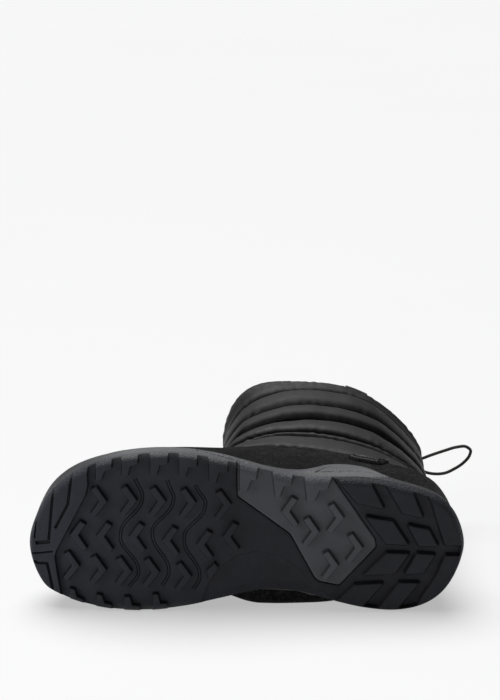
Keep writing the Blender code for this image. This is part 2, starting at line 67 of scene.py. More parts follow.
OUTLINE = (  # station, inner edge, outer edge of the sole
    (5.0, -21.5, 21.5), (14.0, -34.0, 32.0), (27.0, -42.2, 38.2),
    (44.0, -45.7, 43.0), (66.0, -44.0, 47.0), (90.0, -38.3, 48.0),
    (112.0, -33.2, 49.0), (134.0, -32.3, 53.6), (160.0, -37.2, 60.3),
    (186.0, -43.0, 65.0), (212.0, -46.0, 65.0), (236.0, -45.6, 60.6),
    (255.0, -42.6, 52.8), (271.0, -37.6, 41.0), (283.0, -30.3, 25.6),
)
HEEL_TIP = (-1.2, -0.5)
TOE_TIP = (292.3, -3.4)
AXIS = (  # station, middle line of the foot
    (0, -0.5), (60, 1.5), (110, 6.0), (150, 9.5), (200, 9.6), (240, 6.5),
    (270, 1.5), (289.5, -3.0),
)
WIDE = (  # station, inner and outer half width of the foot, ends left open
    (0, 44.0, 44.5), (30, 45.0, 44.5), (60, 46.5, 45.0), (90, 45.5, 44.0),
    (115, 44.0, 44.5), (140, 45.5, 46.5), (165, 49.0, 50.0), (190, 52.5, 53.6),
    (215, 54.5, 54.8), (240, 54.5, 53.0), (265, 52.5, 49.2), (290, 50.0, 46.5),
)
HANG = (  # station, how far the inner side of the foot hangs over the sole's waist
    (50, 0.0), (64, 1.5), (84, 6.6), (100, 11.0), (114, 13.6), (128, 14.0), (145, 11.0), (158, 5.0), (172, 0.0),
)
RIDGE = (  # station, height of the foot's top line
    (0, 140), (60, 134), (110, 124), (150, 111), (175, 103), (194, 95),
    (211, 86), (235, 76.5), (262, 66.5), (283, 53), (290, 38),
)
RAND_TOP = (  # station, height of the rand
    (0, 18.5), (14, 18.3), (30, 17.8), (42, 17.6), (50, 19.2), (58, 24.5), (66, 29.5),
    (75, 32.8), (85, 33.0), (92, 30.2), (98, 25.2), (105, 20.0), (113, 17.0),
    (122, 15.8), (132, 16.0), (145, 18.6), (160, 21.2), (185, 22), (220, 22.5),
    (250, 25.5), (275, 33), (290, 38),
)
RAND_THICK = (  # station, share of the rand's wall at its lip
    (0, 0.5), (45, 0.5), (60, 1.1), (75, 1.25), (90, 1.2), (98, 1.0), (106, 0.8),
    (114, 0.7), (132, 0.7), (146, 0.9), (160, 1.0), (230, 1.0), (250, 0.8),
    (270, 0.6), (290, 0.5),
)
LEVELS = (
    # level, height and station at the back, at the front, leg half width
    # inner and outer, share of leg, share of vamp, swell, front fullness
    ("feather",   16.5, 4.5, 22.5, 285.5, 45, 45, 0.00, 0.00, 0.925, 2.0),
    ("rand",      28, 2.0, 37, 289.5, 45, 45, 0.00, 0.12, 0.94, 2.0),
    ("toe_top",   37, 1.5, 53, 283.5, 45, 44, 0.00, 0.45, 0.95, 2.0),
    ("vamp",      44, 2.5, 66.5, 262.0, 45, 43, 0.04, 0.90, 0.96, 2.0),
    ("bridge",    48, 3.5, 76.5, 235.0, 45, 42, 0.14, 1.00, 0.97, 2.0),
    ("instep",    52, 5.0, 86, 211.0, 45, 41, 0.36, 1.00, 0.97, 2.0),
    ("throat",    57, 7.0, 95, 194.0, 46, 40, 0.66, 1.00, 0.97, 2.0),
    ("ankle",     74, 10.5, 106, 182.0, 48, 41, 0.92, 1.00, 0.95, 2.0),
    ("fold_low",  94, 12.5, 110, 174.0, 50, 41.7, 1.00, 1.00, 0.95, 2.0),
    ("fold_high", 103, 13.0, 116, 171.0, 51, 42.6, 1.00, 1.00, 0.95, 2.0),
    ("seam_3",    138, 13.5, 135, 166.0, 54, 44.6, 1.00, 1.00, 0.95, 2.0),
    ("seam_2",    171, 13.5, 164, 164.0, 56, 46.3, 1.00, 1.00, 0.95, 2.05),
    ("seam_1",    202, 13.5, 199, 162.5, 57.5, 49.0, 1.00, 1.00, 0.95, 2.2),
    ("rim",       222, 14.0, 226, 162.0, 58, 48.7, 1.00, 1.00, 0.95, 4.0),
)
LEVEL = {row[0]: i/(len(LEVELS) - 1) for i, row in enumerate(LEVELS)}
CHANNELS = ("throat", "fold_low", "fold_high", "seam_3", "seam_2", "seam_1", "rim")
COLLAR_FROM = LEVEL["seam_1"] + 0.62*(LEVEL["rim"] - LEVEL["seam_1"])

# ------------------------------------------------------------------ tread tables
CHEVRON = ((0, 0), (7.0, 10.0), (10.6, 8.0), (5.2, 0.2), (11.2, -8.8), (8.7, -11.2))
CHEVRONS = (  # piece, apex station, apex across, opens towards toe +1 or heel -1
    ("outsole", 238.2, 31.3, 1), ("outsole", 218.1, 32.6, 1), ("outsole", 198.9, 32.2, 1),
    ("outsole", 178.6, 31.2, 1), ("outsole", 155.1, 29.8, 1),
    ("outsole", 263.5, 6.6, -1), ("outsole", 245.8, 6.7, -1), ("outsole", 223.9, 6.9, -1),
    ("outsole", 201.5, 4.4, -1), ("outsole", 178.5, 1.7, -1), ("outsole", 161.0, 7.1, -1),
    ("outsole", 257.6, -15.3, 1), ("outsole", 239.4, -17.0, 1), ("outsole", 222.3, -17.5, 1),
    ("outsole", 203.6, -17.8, 1), ("outsole", 182.0, -21.0, 1),
    ("tread_insert", 121.6, 24.4, -1), ("tread_insert", 96.2, 10.5, 1),
    ("tread_insert", 79.9, 20.6, 1), ("tread_insert", 66.9, -0.6, 1),
    ("tread_insert", 83.2, -13.0, 1),
)
OUTER_LUGS = (  # leading station, long leg, short leg, width
    (245.5, 11.0, 5.0, 10.5), (228.0, 12.5, 5.0, 10.5), (209.0, 14.0, 6.0, 11.5),
    (189.8, 14.5, 6.5, 11.7), (170.0, 15.5, 6.5, 12.2),
)
INNER_LUGS = (  # leading station, long leg, short leg, width
    (264.6, 7.5, 2.2, 9.0), (246.4, 8.6, 2.6, 10.0), (227.6, 9.4, 2.8, 10.2),
    (208.4, 11.0, 3.4, 9.6),
)
BLOCKS = (  # piece, corners of the lugs that are neither chevrons nor L shapes
    ("outsole", ((171.9, -16.7), (166.2, -11.3), (164.2, -14.6), (169.9, -24.4))),
    ("tread_insert", ((149.4, 60.0), (149.5, 38.3), (144.9, 38.9), (141.8, 46.4), (138.7, 46.9), (137.2, 58.0))),
    ("tread_insert", ((128.0, 55.6), (125.5, 34.1), (122.4, 35.7), (120.4, 42.1), (115.3, 43.2), (113.6, 53.0))),
    ("tread_insert", ((106.6, 52.0), (104.5, 31.4), (99.4, 32.4), (96.4, 39.4), (91.3, 40.5), (86.0, 54.0))),
)
HEEL_BLOCKS = (  # corners of the heel's blocks, run out past the sole's edge
    ((84.5, 54.0), (82.6, 44.7), (71.2, 30.8), (53.1, 26.8), (62.3, 44.6), (66.0, 54.0)),
    ((55.0, 52.0), (51.5, 42.9), (40.7, 23.7), (27.1, 20.8), (34.3, 38.4), (38.6, 50.0)),
    ((65.4, 21.4), (47.0, 17.9), (36.4, 1.4), (51.4, 2.2)),
    ((37.1, 15.5), (22.9, 12.2), (16.7, 0.4), (29.4, 0.8)),
    ((50.9, -4.3), (36.1, -4.7), (45.3, -18.8), (66.8, -20.3)),
    ((30.4, -4.7), (18.6, -5.5), (26.2, -18.5), (38.5, -19.4)),
    ((72.3, -27.0), (53.0, -25.8), (66.9, -42.6), (73.0, -50.0), (92.0, -50.0), (84.0, -38.4)),
    ((42.4, -25.5), (28.9, -25.5), (43.3, -44.2), (49.0, -52.0), (63.0, -52.0), (56.0, -43.9)),
    ((28.0, 47.0), (23.4, 35.8), (20.5, 29.4), (18.2, 20.6), (11.6, 0.8), (-7.0, 0.5), (-7.0, 30.0), (8.0, 47.0)),
    ((11.3, -6.3), (-7.0, -7.4), (-7.0, -30.0), (8.0, -50.0), (33.0, -52.0), (27.4, -37.0), (17.0, -20.0)),
)
HEEL_LIP = 1.9    # width of the lip that closes the heel's channels along the sole's edge
HEEL_TO = 84.0    # station where that lip ends
TOE_PAD = (  # raised toe, back edge from the outer to the inner side, then round the front
    (251.9, 70.0), (251.3, 41.9), (253.0, 34.8), (263.3, 14.7), (273.4, -5.2),
    (274.8, -9.7), (273.4, -20.5), (270.8, -37.3), (269.0, -60.0), (310.0, -60.0), (310.0, 70.0),
)
SLOTS = (  # name, width, points along the narrow cuts in the toe
    ("toe_1", 1.7, ((261.4, 52.0), (262.1, 47.7), (264.9, 28.1), (273.8, 10.6))),
    ("toe_2", 1.7, ((274.8, 37.0), (278.5, 1.5))),
    ("toe_3", 2.4, ((277.6, 0.8), (287.6, -1.2))),
    ("toe_4", 1.0, ((292.0, -9.3), (275.8, -6.2))),
    ("toe_5", 1.7, ((289.2, -14.4), (286.1, -15.3), (279.9, -14.8), (275.9, -35.2))),
    ("toe_6", 1.0, ((287.0, 14.3), (288.3, 2.2))),
)
SIPES = (  # points along the fine wavy cuts between the chevron rows
    ((219.6, 47.2), (217.9, 43.4), (214.6, 36.0), (215.0, 32.2), (229.2, 10.3), (229.8, 5.4),
     (218.1, -15.5), (217.7, -18.8), (224.3, -29.4)),
    ((198.0, 46.2), (196.8, 42.5), (193.7, 33.3), (194.5, 29.6), (208.4, 9.0), (207.8, 4.7),
     (197.7, -14.9), (197.3, -18.7), (201.7, -28.0)),
    ((179.1, 42.7), (177.6, 39.2), (172.5, 30.6), (173.0, 26.3), (187.0, 6.3), (186.8, 1.4),
     (176.9, -18.7), (176.7, -23.1), (180.9, -30.8)),
)
WAIST = (  # edge of the plain sunk field at the waist
    (176.6, -60.0), (174.6, -37.7), (169.9, -25.6), (160.6, -13.6), (150.3, -7.1), (138.9, -4.7),
    (123.8, -7.7), (110.4, -15.8), (103.1, -25.6), (98.9, -33.3), (97.0, -60.0),
)
INSERT = (  # outline of the insert, inner corners only
    (151.2, 34.6), (115.7, 7.7), (99.0, -23.3), (95.9, -25.5), (82.5, -28.2),
    (58.1, -1.0), (58.7, 4.4), (88.3, 48.5),
)
INSERT_FRONT, INSERT_BACK = 151.2, 90.5


# ------------------------------------------------------------------ curves
def through(rows, x):
    """Smooth curve through table rows (position, value)."""
    xs, ys = np.array(rows, float).T[:2]
    x = np.asarray(x, float)
    m = np.gradient(ys, xs)
    i = np.clip(np.searchsorted(xs, x) - 1, 0, len(xs) - 2)
    h = xs[i + 1] - xs[i]
    t = np.clip((x - xs[i])/h, 0, 1)
    return ((2*t**3 - 3*t**2 + 1)*ys[i] + (t**3 - 2*t**2 + t)*h*m[i]
            + (3*t**2 - 2*t**3)*ys[i + 1] + (t**3 - t**2)*h*m[i + 1])


def smooth(a, b, x):
    t = np.clip((np.asarray(x, float) - a)/(b - a), 0, 1)
    return t*t*(3 - 2*t)


def curve(points, step):
    """Points about step apart along a smooth open curve through the given ones."""
    p = np.array(points, float)
    s = np.concatenate([[0], np.cumsum(np.linalg.norm(np.diff(p, axis=0), axis=1))])
    u = np.linspace(0, s[-1], max(int(s[-1]/step), 2) + 1)
    return np.stack([through(np.stack([s, p[:, k]], 1), u) for k in range(p.shape[1])], 1)


def edge_curve():
    """Closed sole outline, heel to toe on the outer side and back on the inner."""
    outer = [(x, o) for x, i, o in OUTLINE]
    inner = [(x, i) for x, i, o in OUTLINE][::-1]
    p = np.array([HEEL_TIP] + outer + [TOE_TIP] + inner, float)
    q = np.vstack([p[-3:], p, p[:4]])
    s = np.concatenate([[0], np.cumsum(np.hypot(*np.diff(q, axis=0).T)**0.5)])
    u = np.linspace(s[3], s[3 + len(p)], 2400, endpoint=False)
    e = np.stack([through(np.stack([s, q[:, k]], 1), u) for k in (0, 1)], 1)
    return np.roll(e, -e[:, 0].argmin(), axis=0)


EDGE = edge_curve()
TIP = EDGE[:, 0].argmax()
OUTER_EDGE = EDGE[:TIP + 1]
INNER_EDGE = np.vstack([EDGE[TIP:], EDGE[:1]])[::-1]
HEEL_X, TOE_X = EDGE[0, 0], EDGE[TIP, 0]


def outer(x):
    return np.interp(x, OUTER_EDGE[:, 0], OUTER_EDGE[:, 1])


def inner(x):
    return np.interp(x, INNER_EDGE[:, 0], INNER_EDGE[:, 1])


def axis(x):
    return through(AXIS, np.clip(x, 0, 289.5))


def wide(x, side):
    return np.where(side > 0, through([(a, c) for a, b, c in WIDE], x),
                    through([(a, b) for a, b, c in WIDE], x))


def ground(x):
    """Underside of the tread: flat at heel and ball, toe spring, lifted waist."""
    x = np.asarray(x, float)
    toe = SPRING*np.clip((x - 205)/85, 0, 1.05)**2
    heel = 2.5*np.clip((22 - x)/22, 0, 1.2)**2
    return toe + heel + ARCH*np.exp(-((x - 126)/28)**4)


def footbed(x):
    return ground(x) - ARCH*np.exp(-((x - 126)/28)**4) + BED + HEEL_LIFT*(1 - smooth(60, 185, x))


def rand_top(x):
    return through(RAND_TOP, x)


def level(col, v):
    return through([(i, row[col]) for i, row in enumerate(LEVELS)],
                   np.asarray(v, float)*(len(LEVELS) - 1))


def rounding(xi, side):
    """How the sole's outline closes in at heel and toe, 1 between them."""
    x = HEEL_X + xi*(TOE_X - HEEL_X)
    w = np.where(side > 0, outer(x) - axis(x), axis(x) - inner(x))
    free = np.where(xi < 0.5, smooth(0.0, 0.30, xi), smooth(1.0, 0.80, xi))
    return np.maximum(np.clip(w/wide(x, side), 0, 1.2)*(1 - free) + free, 1e-5)


def skin(v, xi, side):
    """Point on the boot's outside: v 0 at the sole to 1 at the rim."""
    v, xi, side = np.broadcast_arrays(np.asarray(v, float), xi, side)
    zb, xb, zf, xf = level(1, v), level(2, v), level(3, v), level(4, v)
    x = xb + xi*(xf - xb)
    sag = footbed(x) - footbed(xb)*(1 - xi) - footbed(xf)*xi
    z = zb + (zf - zb)*xi + (1 - smooth(0, LEVEL["bridge"], v))*sag
    base = footbed(x)
    t = np.clip((z - base)/np.maximum(through(RIDGE, x) - base, 1), 0, 1)
    dome = np.maximum((1 - t**(1.3 + 2.4*smooth(200, 100, x)))**0.5, 1e-4)
    vamp = np.clip(level(8, v), 0, 1)
    ends = rounding(xi, side)
    foot = wide(x, side)*level(9, v)*np.where(xi < 0.5, ends, ends**(1 - vamp))*dome**vamp
    back = (side > 0) & (xi < 0.5)
    full = np.where((side > 0) & ~back, level(10, v), 2.05)
    droop = np.where(back, 0.22*smooth(LEVEL["ankle"], LEVEL["seam_1"], v), 0)
    oval = np.clip(1 - np.abs(2*xi - 1)**full, 1e-10, 1)**(0.5 + droop)
    leg = np.where(side > 0, level(6, v), level(5, v))*oval
    share = np.clip(level(7, v), 0, 1)
    w = np.maximum(foot, 1e-5)**(1 - share)*leg**share
    return np.stack([x, axis(x) + side*w, z], -1)


def around(n):
    """Stations round the boot, back to front on the outer side and on to the back."""
    half = (1 - np.cos(np.pi*np.arange(n + 1)/n))/2
    return (np.concatenate([half, half[1:-1][::-1]]),
            np.concatenate([np.ones(n + 1), -np.ones(n - 1)]))


def normals(p):
    """Outward normals of a grid of rows around the boot."""
    along = np.gradient(p, axis=0)
    round_ = np.roll(p, -1, axis=1) - np.roll(p, 1, axis=1)
    n = np.cross(along, round_)
    n /= np.linalg.norm(n, axis=-1, keepdims=True)
    out = p - p.mean(axis=1, keepdims=True)
    return n*np.sign((n*out).sum())


def sideways(ring):
    """Outward direction of a ring seen from above."""
    t = np.roll(ring, -1, axis=0) - np.roll(ring, 1, axis=0)
    n = np.stack([-t[:, 1], t[:, 0], 0*t[:, 0]], 1)
    return n/np.linalg.norm(n, axis=1, keepdims=True)


def lay(p):
    """Boot axes to the lying boot, in metres."""
    x, y, z = np.moveaxis(np.asarray(p, float), -1, 0)
    s, c = np.sin(LEAN), np.cos(LEAN)
    return MM*np.stack([REST_X - x, -(y + EDGE_UP)*s + z*c - REST_Y,
                        (y + EDGE_UP)*c + z*s], -1)


def settle(p, least):
    """Lying points, pressed softly on the floor at that height."""
    q = lay(p)
    z, soft = q[..., 2]/MM - least, 0.8
    q[..., 2] = MM*(least + np.where(z > soft, z, np.where(z > -soft, (z + soft)**2/(4*soft), 0)))
    return q


def waves(s, periods, seed):
    """Smooth irregular wave along a closed line; s from 0 to 1, periods per turn."""
    rng = np.random.default_rng(seed)
    total = 0*s
    for k in periods:
        total = total + rng.uniform(0.5, 1.0)*np.sin(2*np.pi*(k*s + rng.uniform()))
    return total/np.sqrt(len(periods))


# ------------------------------------------------------------------ meshes
def put(name, verts, faces, mat, node, uv=None, values=None, flat=False):
    """Mesh object from arrays of triangles and quads, with an optional UV per corner."""
    faces = [np.asarray(f, np.int64) for f in faces if len(f)]
    loops = np.concatenate([f.ravel() for f in faces])
    sizes = np.concatenate([np.full(len(f), f.shape[1]) for f in faces])
    me = bpy.data.meshes.new(name)
    me.vertices.add(len(verts))
    me.vertices.foreach_set("co", np.asarray(verts, np.float32).ravel())
    me.loops.add(len(loops))
    me.loops.foreach_set("vertex_index", loops.astype(np.int32))
    me.polygons.add(len(sizes))
    me.polygons.foreach_set("loop_start", np.concatenate([[0], np.cumsum(sizes)[:-1]]).astype(np.int32))
    if uv is not None:
        layer = me.uv_layers.new(name="mm")
        layer.data.foreach_set("uv", np.asarray(uv, np.float32)[loops].ravel())
    for key, v in (values or {}).items():
        me.attributes.new(key, "FLOAT", "POINT").data.foreach_set("value", np.asarray(v, np.float32).ravel())
    me.update(calc_edges=True)
    me.validate()
    me.polygons.foreach_set("use_smooth", np.full(len(me.polygons), not flat))
    me.materials.append(mat)
    ob = bpy.data.objects.new(name, me)
    bpy.context.scene.collection.objects.link(ob)
    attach(ob, "root")
    if node:
        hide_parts(node)
    return ob


def band(rows, n, loop=False, start=0):
    """Quads of a grid of closed rows."""
    k = np.arange(rows if loop else rows - 1)[:, None]
    j = np.arange(n)[None]
    a, b = k*n, ((k + 1) % rows)*n
    j2 = (j + 1) % n
    return start + np.stack([a + j, a + j2, b + j2, b + j], -1).reshape(-1, 4)


def strips(start, n):
    """Fill of a ring, across from the outer to the inner side."""
    m = n//2
    j = np.arange(1, m - 1)
    quads = np.stack([start + j, start + j + 1, start + n - j - 1, start + n - j], 1)
    tris = np.array([(start, start + 1, start + n - 1), (start + m, start + m + 1, start + m - 1)])
    return tris, quads


def grid(rows, cols, start=0):
    """Quads of an open grid."""
    k, j = np.arange(rows - 1)[:, None], np.arange(cols - 1)[None]
    a = start + k*cols + j
    return np.stack([a, a + 1, a + cols + 1, a + cols], -1).reshape(-1, 4)


def outward(verts, faces):
    """Faces of a closed mesh, turned so that they look out."""
    total = 0.0
    for f in faces:
        if len(f):
            a, b, c = verts[f[:, 0]], verts[f[:, 1]], verts[f[:, 2]]
            total += np.einsum("ij,ij->i", a, np.cross(b, c)).sum()
            if f.shape[1] == 4:
                total += np.einsum("ij,ij->i", a, np.cross(c, verts[f[:, 3]])).sum()
    return faces if total > 0 else [f[:, ::-1] for f in faces]


# ------------------------------------------------------------------ flat outlines
def rounded(corners, radius, step=0.9):
    """Closed outline with rounded corners, counter-clockwise, and its outward normals."""
    c = np.array(corners, float)
    if np.sum(c[:, 0]*np.roll(c[:, 1], -1) - np.roll(c[:, 0], -1)*c[:, 1]) < 0:
        c = c[::-1]
    n = len(c)
    pts = []
    ends = []
    for i in range(n):
        a, p, b = c[i - 1], c[i], c[(i + 1) % n]
        u, w = a - p, b - p
        lu, lw = np.linalg.norm(u), np.linalg.norm(w)
        u, w = u/lu, w/lw
        half = np.arccos(np.clip(u @ w, -1, 1))/2
        cut = min(radius/np.tan(half), 0.42*lu, 0.42*lw)
        turn = np.pi - 2*half
        k = max(int(np.ceil(turn/0.35)), 1)
        arc = []
        for t in np.linspace(0, 1, k + 1):
            arc.append((1 - t)**2*(p + cut*u) + 2*t*(1 - t)*p + t**2*(p + cut*w))
        ends.append(arc)
    for i in range(n):
        arc, nxt = ends[i], ends[(i + 1) % n]
        pts += arc
        gap = np.linalg.norm(nxt[0] - arc[-1])
        m = int(gap/step)
        pts += [arc[-1] + (nxt[0] - arc[-1])*t for t in np.linspace(0, 1, m + 2)[1:-1]]
    p = np.array(pts)
    p = p[np.linalg.norm(p - np.roll(p, 1, axis=0), axis=1) > 1e-3]
    t = np.roll(p, -1, axis=0) - p
    t /= np.linalg.norm(t, axis=1, keepdims=True)
    m = t + np.roll(t, 1, axis=0)
    m /= np.linalg.norm(m, axis=1, keepdims=True)
    return p, np.stack([m[:, 1], -m[:, 0]], 1)


def slot_corners(width, points):
    """Outline of a narrow cut along a bent line."""
    p = np.array(points, float)
    t = np.diff(p, axis=0)
    t /= np.linalg.norm(t, axis=1, keepdims=True)
    n = np.stack([-t[:, 1], t[:, 0]], 1)
    m = np.vstack([n[:1], n[:-1] + n[1:], n[-1:]])
    m /= (m*np.vstack([n[:1], n])).sum(axis=1, keepdims=True)
    return np.vstack([p + width/2*m, (p - width/2*m)[::-1]])


def beside(p, off):
    """Open line moved sideways."""
    t = np.gradient(p, axis=0)
    t /= np.linalg.norm(t, axis=1, keepdims=True)
    return p + off*np.stack([-t[:, 1], t[:, 0]], 1)


def to_line(p, a, b):
    """Distance of points to the nearest of the segments a-b."""
    out = np.empty(len(p))
    ab = b - a
    ll = np.maximum((ab**2).sum(1), 1e-12)
    for k in range(0, len(p), 4000):
        q = p[k:k + 4000, None]
        t = np.clip(((q - a)*ab).sum(-1)/ll, 0, 1)
        out[k:k + 4000] = np.sqrt((((q - a) - t[..., None]*ab)**2).sum(-1).min(1))
    return out


def signed(p, loop, reach=3.0):
    """Distance to a closed outline, negative inside; far away it is only large."""
    d = np.full(len(p), 1e3)
    near = np.where(((p > loop.min(0) - reach) & (p < loop.max(0) + reach)).all(1))[0]
    if not len(near):
        return d
    q = p[near]
    a, b = loop, np.roll(loop, -1, axis=0)
    dist = to_line(q, a, b)
    inside = np.zeros(len(q), bool)
    for k in range(0, len(q), 4000):
        r = q[k:k + 4000, None]
        with np.errstate(divide="ignore", invalid="ignore"):
            cross = (((a[:, 1] > r[..., 1]) != (b[:, 1] > r[..., 1]))
                     & (r[..., 0] < (b[:, 0] - a[:, 0])*(r[..., 1] - a[:, 1])/(b[:, 1] - a[:, 1]) + a[:, 0]))
        inside[k:k + 4000] = cross.sum(1) % 2 == 1
    d[near] = np.where(inside, -dist, dist)
    return d


# ------------------------------------------------------------------ tread
RISE = ((-0.60, 1.0), (-0.30, 0.985), (-0.12, 0.945), (0.0, 0.86), (0.55, 0.13), (0.72, 0.05), (1.05, 0.012), (1.5, 0.0))
SLOPE = ((-0.65, 1.0), (-0.32, 0.985), (-0.12, 0.945), (0.02, 0.87), (1.15, 0.14), (1.38, 0.05), (1.75, 0.012), (2.2, 0.0))
CUT = ((0.50, 0.0), (0.22, 0.04), (0.05, 0.15), (-0.30, 0.9), (-0.45, 1.0))
FINE = ((0.32, 0.0), (0.12, 0.06), (0.0, 0.25), (-0.2, 1.0))
DIP = ((0.80, 0.0), (0.45, 0.10), (0.0, 0.5), (-0.45, 0.90), (-0.80, 1.0))


class Tread:
    """Height field of a rubber bottom inside an outline, with its features."""

    def __init__(self, loop):
        self.loop, self.features = loop, []
        self.line = resample(loop, 1.2)   # plainer outline, for distances

    def add(self, kind, corners, amount, profile, radius=0.7):
        p, n = rounded(corners, radius)
        self.features.append((kind, p, n, amount, np.array(profile)))

    def height(self, p):
        """Height over the plain bottom, towards the ground, in mm."""
        up, down, sunk = np.zeros(len(p)), np.zeros(len(p)), np.zeros(len(p))
        for kind, loop, n, amount, profile in self.features:
            d = signed(p, loop)
            near = d < 900
            f = np.zeros(len(p))
            order = np.argsort(profile[:, 0])
            f[near] = np.interp(d[near], profile[order, 0], profile[order, 1])
            if kind == "raise":
                up = np.maximum(up, amount*f)
            elif kind == "cut":
                down = np.maximum(down, amount*f)
            else:
                sunk = np.maximum(sunk, amount*f)
        return np.maximum(up - sunk, -sunk) - down

    def foot(self, p):
        """1 at the foot of a raised lug, 0 a little way out on the plain bottom."""
        near = np.zeros(len(p))
        for kind, loop, n, amount, profile in self.features:
            if kind == "raise":
                near = np.maximum(near, np.clip((1.5 - signed(p, loop))/0.8, 0, 1))
        return near

    def layout(self, edge_rings, fill):
        """Points and edges to triangulate, the outline first."""
        pts, edges, count = [self.loop], [], len(self.loop)
        n = len(self.loop)
        edges += [(i, (i + 1) % n) for i in range(n)]
        t = np.roll(self.loop, -1, axis=0) - np.roll(self.loop, 1, axis=0)
        nrm = np.stack([t[:, 1], -t[:, 0]], 1)/np.linalg.norm(t, axis=1, keepdims=True)
        coarse = slice(None, None, 3)
        rings = [(self.loop[coarse] - e*nrm[coarse], None, self.line, -e, False) for e in edge_rings]
        for kind, loop, nn, amount, profile in self.features:
            rings += [(loop + d*nn, None, loop, d, True) for d in profile[:, 0]]
        for q, _, loop, d, inside_only in rings:
            ok = np.abs(signed(q, loop) - d) < 0.04
            ok &= signed(q, self.line) < -0.08
            idx = np.full(len(q), -1)
            idx[ok] = count + np.arange(ok.sum())
            pts.append(q[ok])
            nxt = np.roll(idx, -1)
            near = np.linalg.norm(np.roll(q, -1, axis=0) - q, axis=1) < 3.0
            both = (idx >= 0) & (nxt >= 0) & near
            edges += list(zip(idx[both].tolist(), nxt[both].tolist()))
            count += ok.sum()
        lo, hi = self.loop.min(0), self.loop.max(0)
        gx, gy = np.meshgrid(np.arange(lo[0], hi[0], fill), np.arange(lo[1], hi[1], fill*0.866))
        gx = gx + (np.arange(gx.shape[0]) % 2)[:, None]*fill/2
        g = np.stack([gx.ravel(), gy.ravel()], 1)
        g = g[signed(g, self.line) < -max(edge_rings) - 0.7*fill]
        for kind, loop, nn, amount, profile in self.features:
            d = signed(g, loop, 4.0)
            g = g[(d < profile[:, 0].min() - 0.6*fill) | (d > profile[:, 0].max() + 0.6*fill)]
        pts.append(g)
        return np.vstack(pts), edges

    def build(self, edge_rings=(0.1, 0.32, 0.7, 1.2, 1.9, 2.8, 3.9, 5.2, 6.8), fill=2.4):
        pts, edges = self.layout(edge_rings, fill)
        q, order = self.loop, list(range(len(self.loop)))
        if np.sum(q[:, 0]*np.roll(q[:, 1], -1) - np.roll(q[:, 0], -1)*q[:, 1]) < 0:
            order.reverse()
        out = delaunay_2d_cdt([Vector(p) for p in pts], edges, [order], 0, 1e-4, True)
        p = np.array([v[:] for v in out[0]])
        tris = np.array([f for f, inside in zip(out[2], out[5]) if inside])
        first = {}
        for i, ids in enumerate(out[3]):
            for k in ids:
                first[k] = i
        rim = np.array([first[k] for k in range(len(self.loop))])
        return p, tris, rim


def close_below(p3, tris, rim, rows):
    """Closes a height field with rows of points under its rim and a flat lid."""
    n, m = len(rim), len(p3)
    verts = np.concatenate([p3] + rows)
    quads = []
    previous = rim
    for k in range(len(rows)):
        here = m + k*n + np.arange(n)
        quads.append(np.stack([previous, np.roll(previous, -1), np.roll(here, -1), here], 1))
        previous = here
    ring, order = rows[-1][:, :2], list(range(n))
    if np.sum(ring[:, 0]*np.roll(ring[:, 1], -1) - np.roll(ring[:, 0], -1)*ring[:, 1]) < 0:
        order.reverse()
    lid = delaunay_2d_cdt([Vector(v) for v in ring], [], [order], 0, 1e-5, True)
    cap = np.array([[lid[3][i][0] for i in f] for f, inside in zip(lid[2], lid[5]) if inside])
    cap = m + (len(rows) - 1)*n + cap
    a, b, c = verts[cap[:, 0]], verts[cap[:, 1]], verts[cap[:, 2]]
    area = np.cross((b - a)[:, :2], (c - a)[:, :2])
    cap = np.where(area[:, None] > 0, cap, cap[:, ::-1])
    a, b, c = (verts[tris[:, k]][:, :2] for k in range(3))
    area = np.cross(b - a, c - a)
    under = np.where(area[:, None] > 0, tris[:, ::-1], tris)
    return verts, [np.concatenate([under, cap]), np.concatenate(quads)]


def resample(loop, step):
    q = np.vstack([loop, loop[:1]])
    s = np.concatenate([[0], np.cumsum(np.hypot(*np.diff(q, axis=0).T))])
    u = np.linspace(0, s[-1], int(s[-1]/step), endpoint=False)
    return np.stack([np.interp(u, s, q[:, 0]), np.interp(u, s, q[:, 1])], 1)


def steep(h):
    """How much a point lies on the wall of a lug: 1 between its top and its foot."""
    h = h/TREAD
    return smooth(0.03, 0.12, h)*smooth(0.96, 0.88, h)


def shoulder(e, reach):
    """Height of the sole's rounded edge over the ground at a distance from the outline."""
    t = np.clip(1 - e/reach, 0, 1)
    return (TREAD + SHEET + 0.36)*(1 - np.sqrt(np.maximum(1 - t*t, 0))) - 0.4


def carve(low, edge, soft=0.4):
    """Bottom of the rubber: the tread's relief, cut off by the rounded edge."""
    k = np.maximum(soft - np.abs(low - edge), 0)/soft
    return np.maximum(low, edge) + 0.25*soft*k*k


SHOULDER = (  # station, how far the rounded edge reaches into the tread on the outer side
    (0, 5.0), (30, 6.5), (60, 6.5), (90, 7.5), (120, 8.0), (150, 7.0), (175, 5.6), (240, 5.6),
    (265, 5.6), (282, 4.4), (292, 3.4),
)
TIGHT = 2.4       # the same on the inner side


def reach(p):
    inner_side = smooth(4.0, -14.0, p[:, 1] - axis(p[:, 0]))
    return through(SHOULDER, p[:, 0])*(1 - inner_side) + TIGHT*inner_side


def heel_lip():
    """Outline of the raised lip round the heel, which closes its channels."""
    e = resample(EDGE, 1.5)
    e = np.roll(e, len(e)//2, axis=0)
    e = e[e[:, 0] < HEEL_TO]
    t = np.gradient(e, axis=0)
    n = np.stack([t[:, 1], -t[:, 0]], 1)/np.linalg.norm(t, axis=1, keepdims=True)
    n *= np.sign((n*(e - np.array((50.0, 0.0)))).sum())
    return np.vstack([e + 5*n, (e - HEEL_LIP*n)[::-1]])


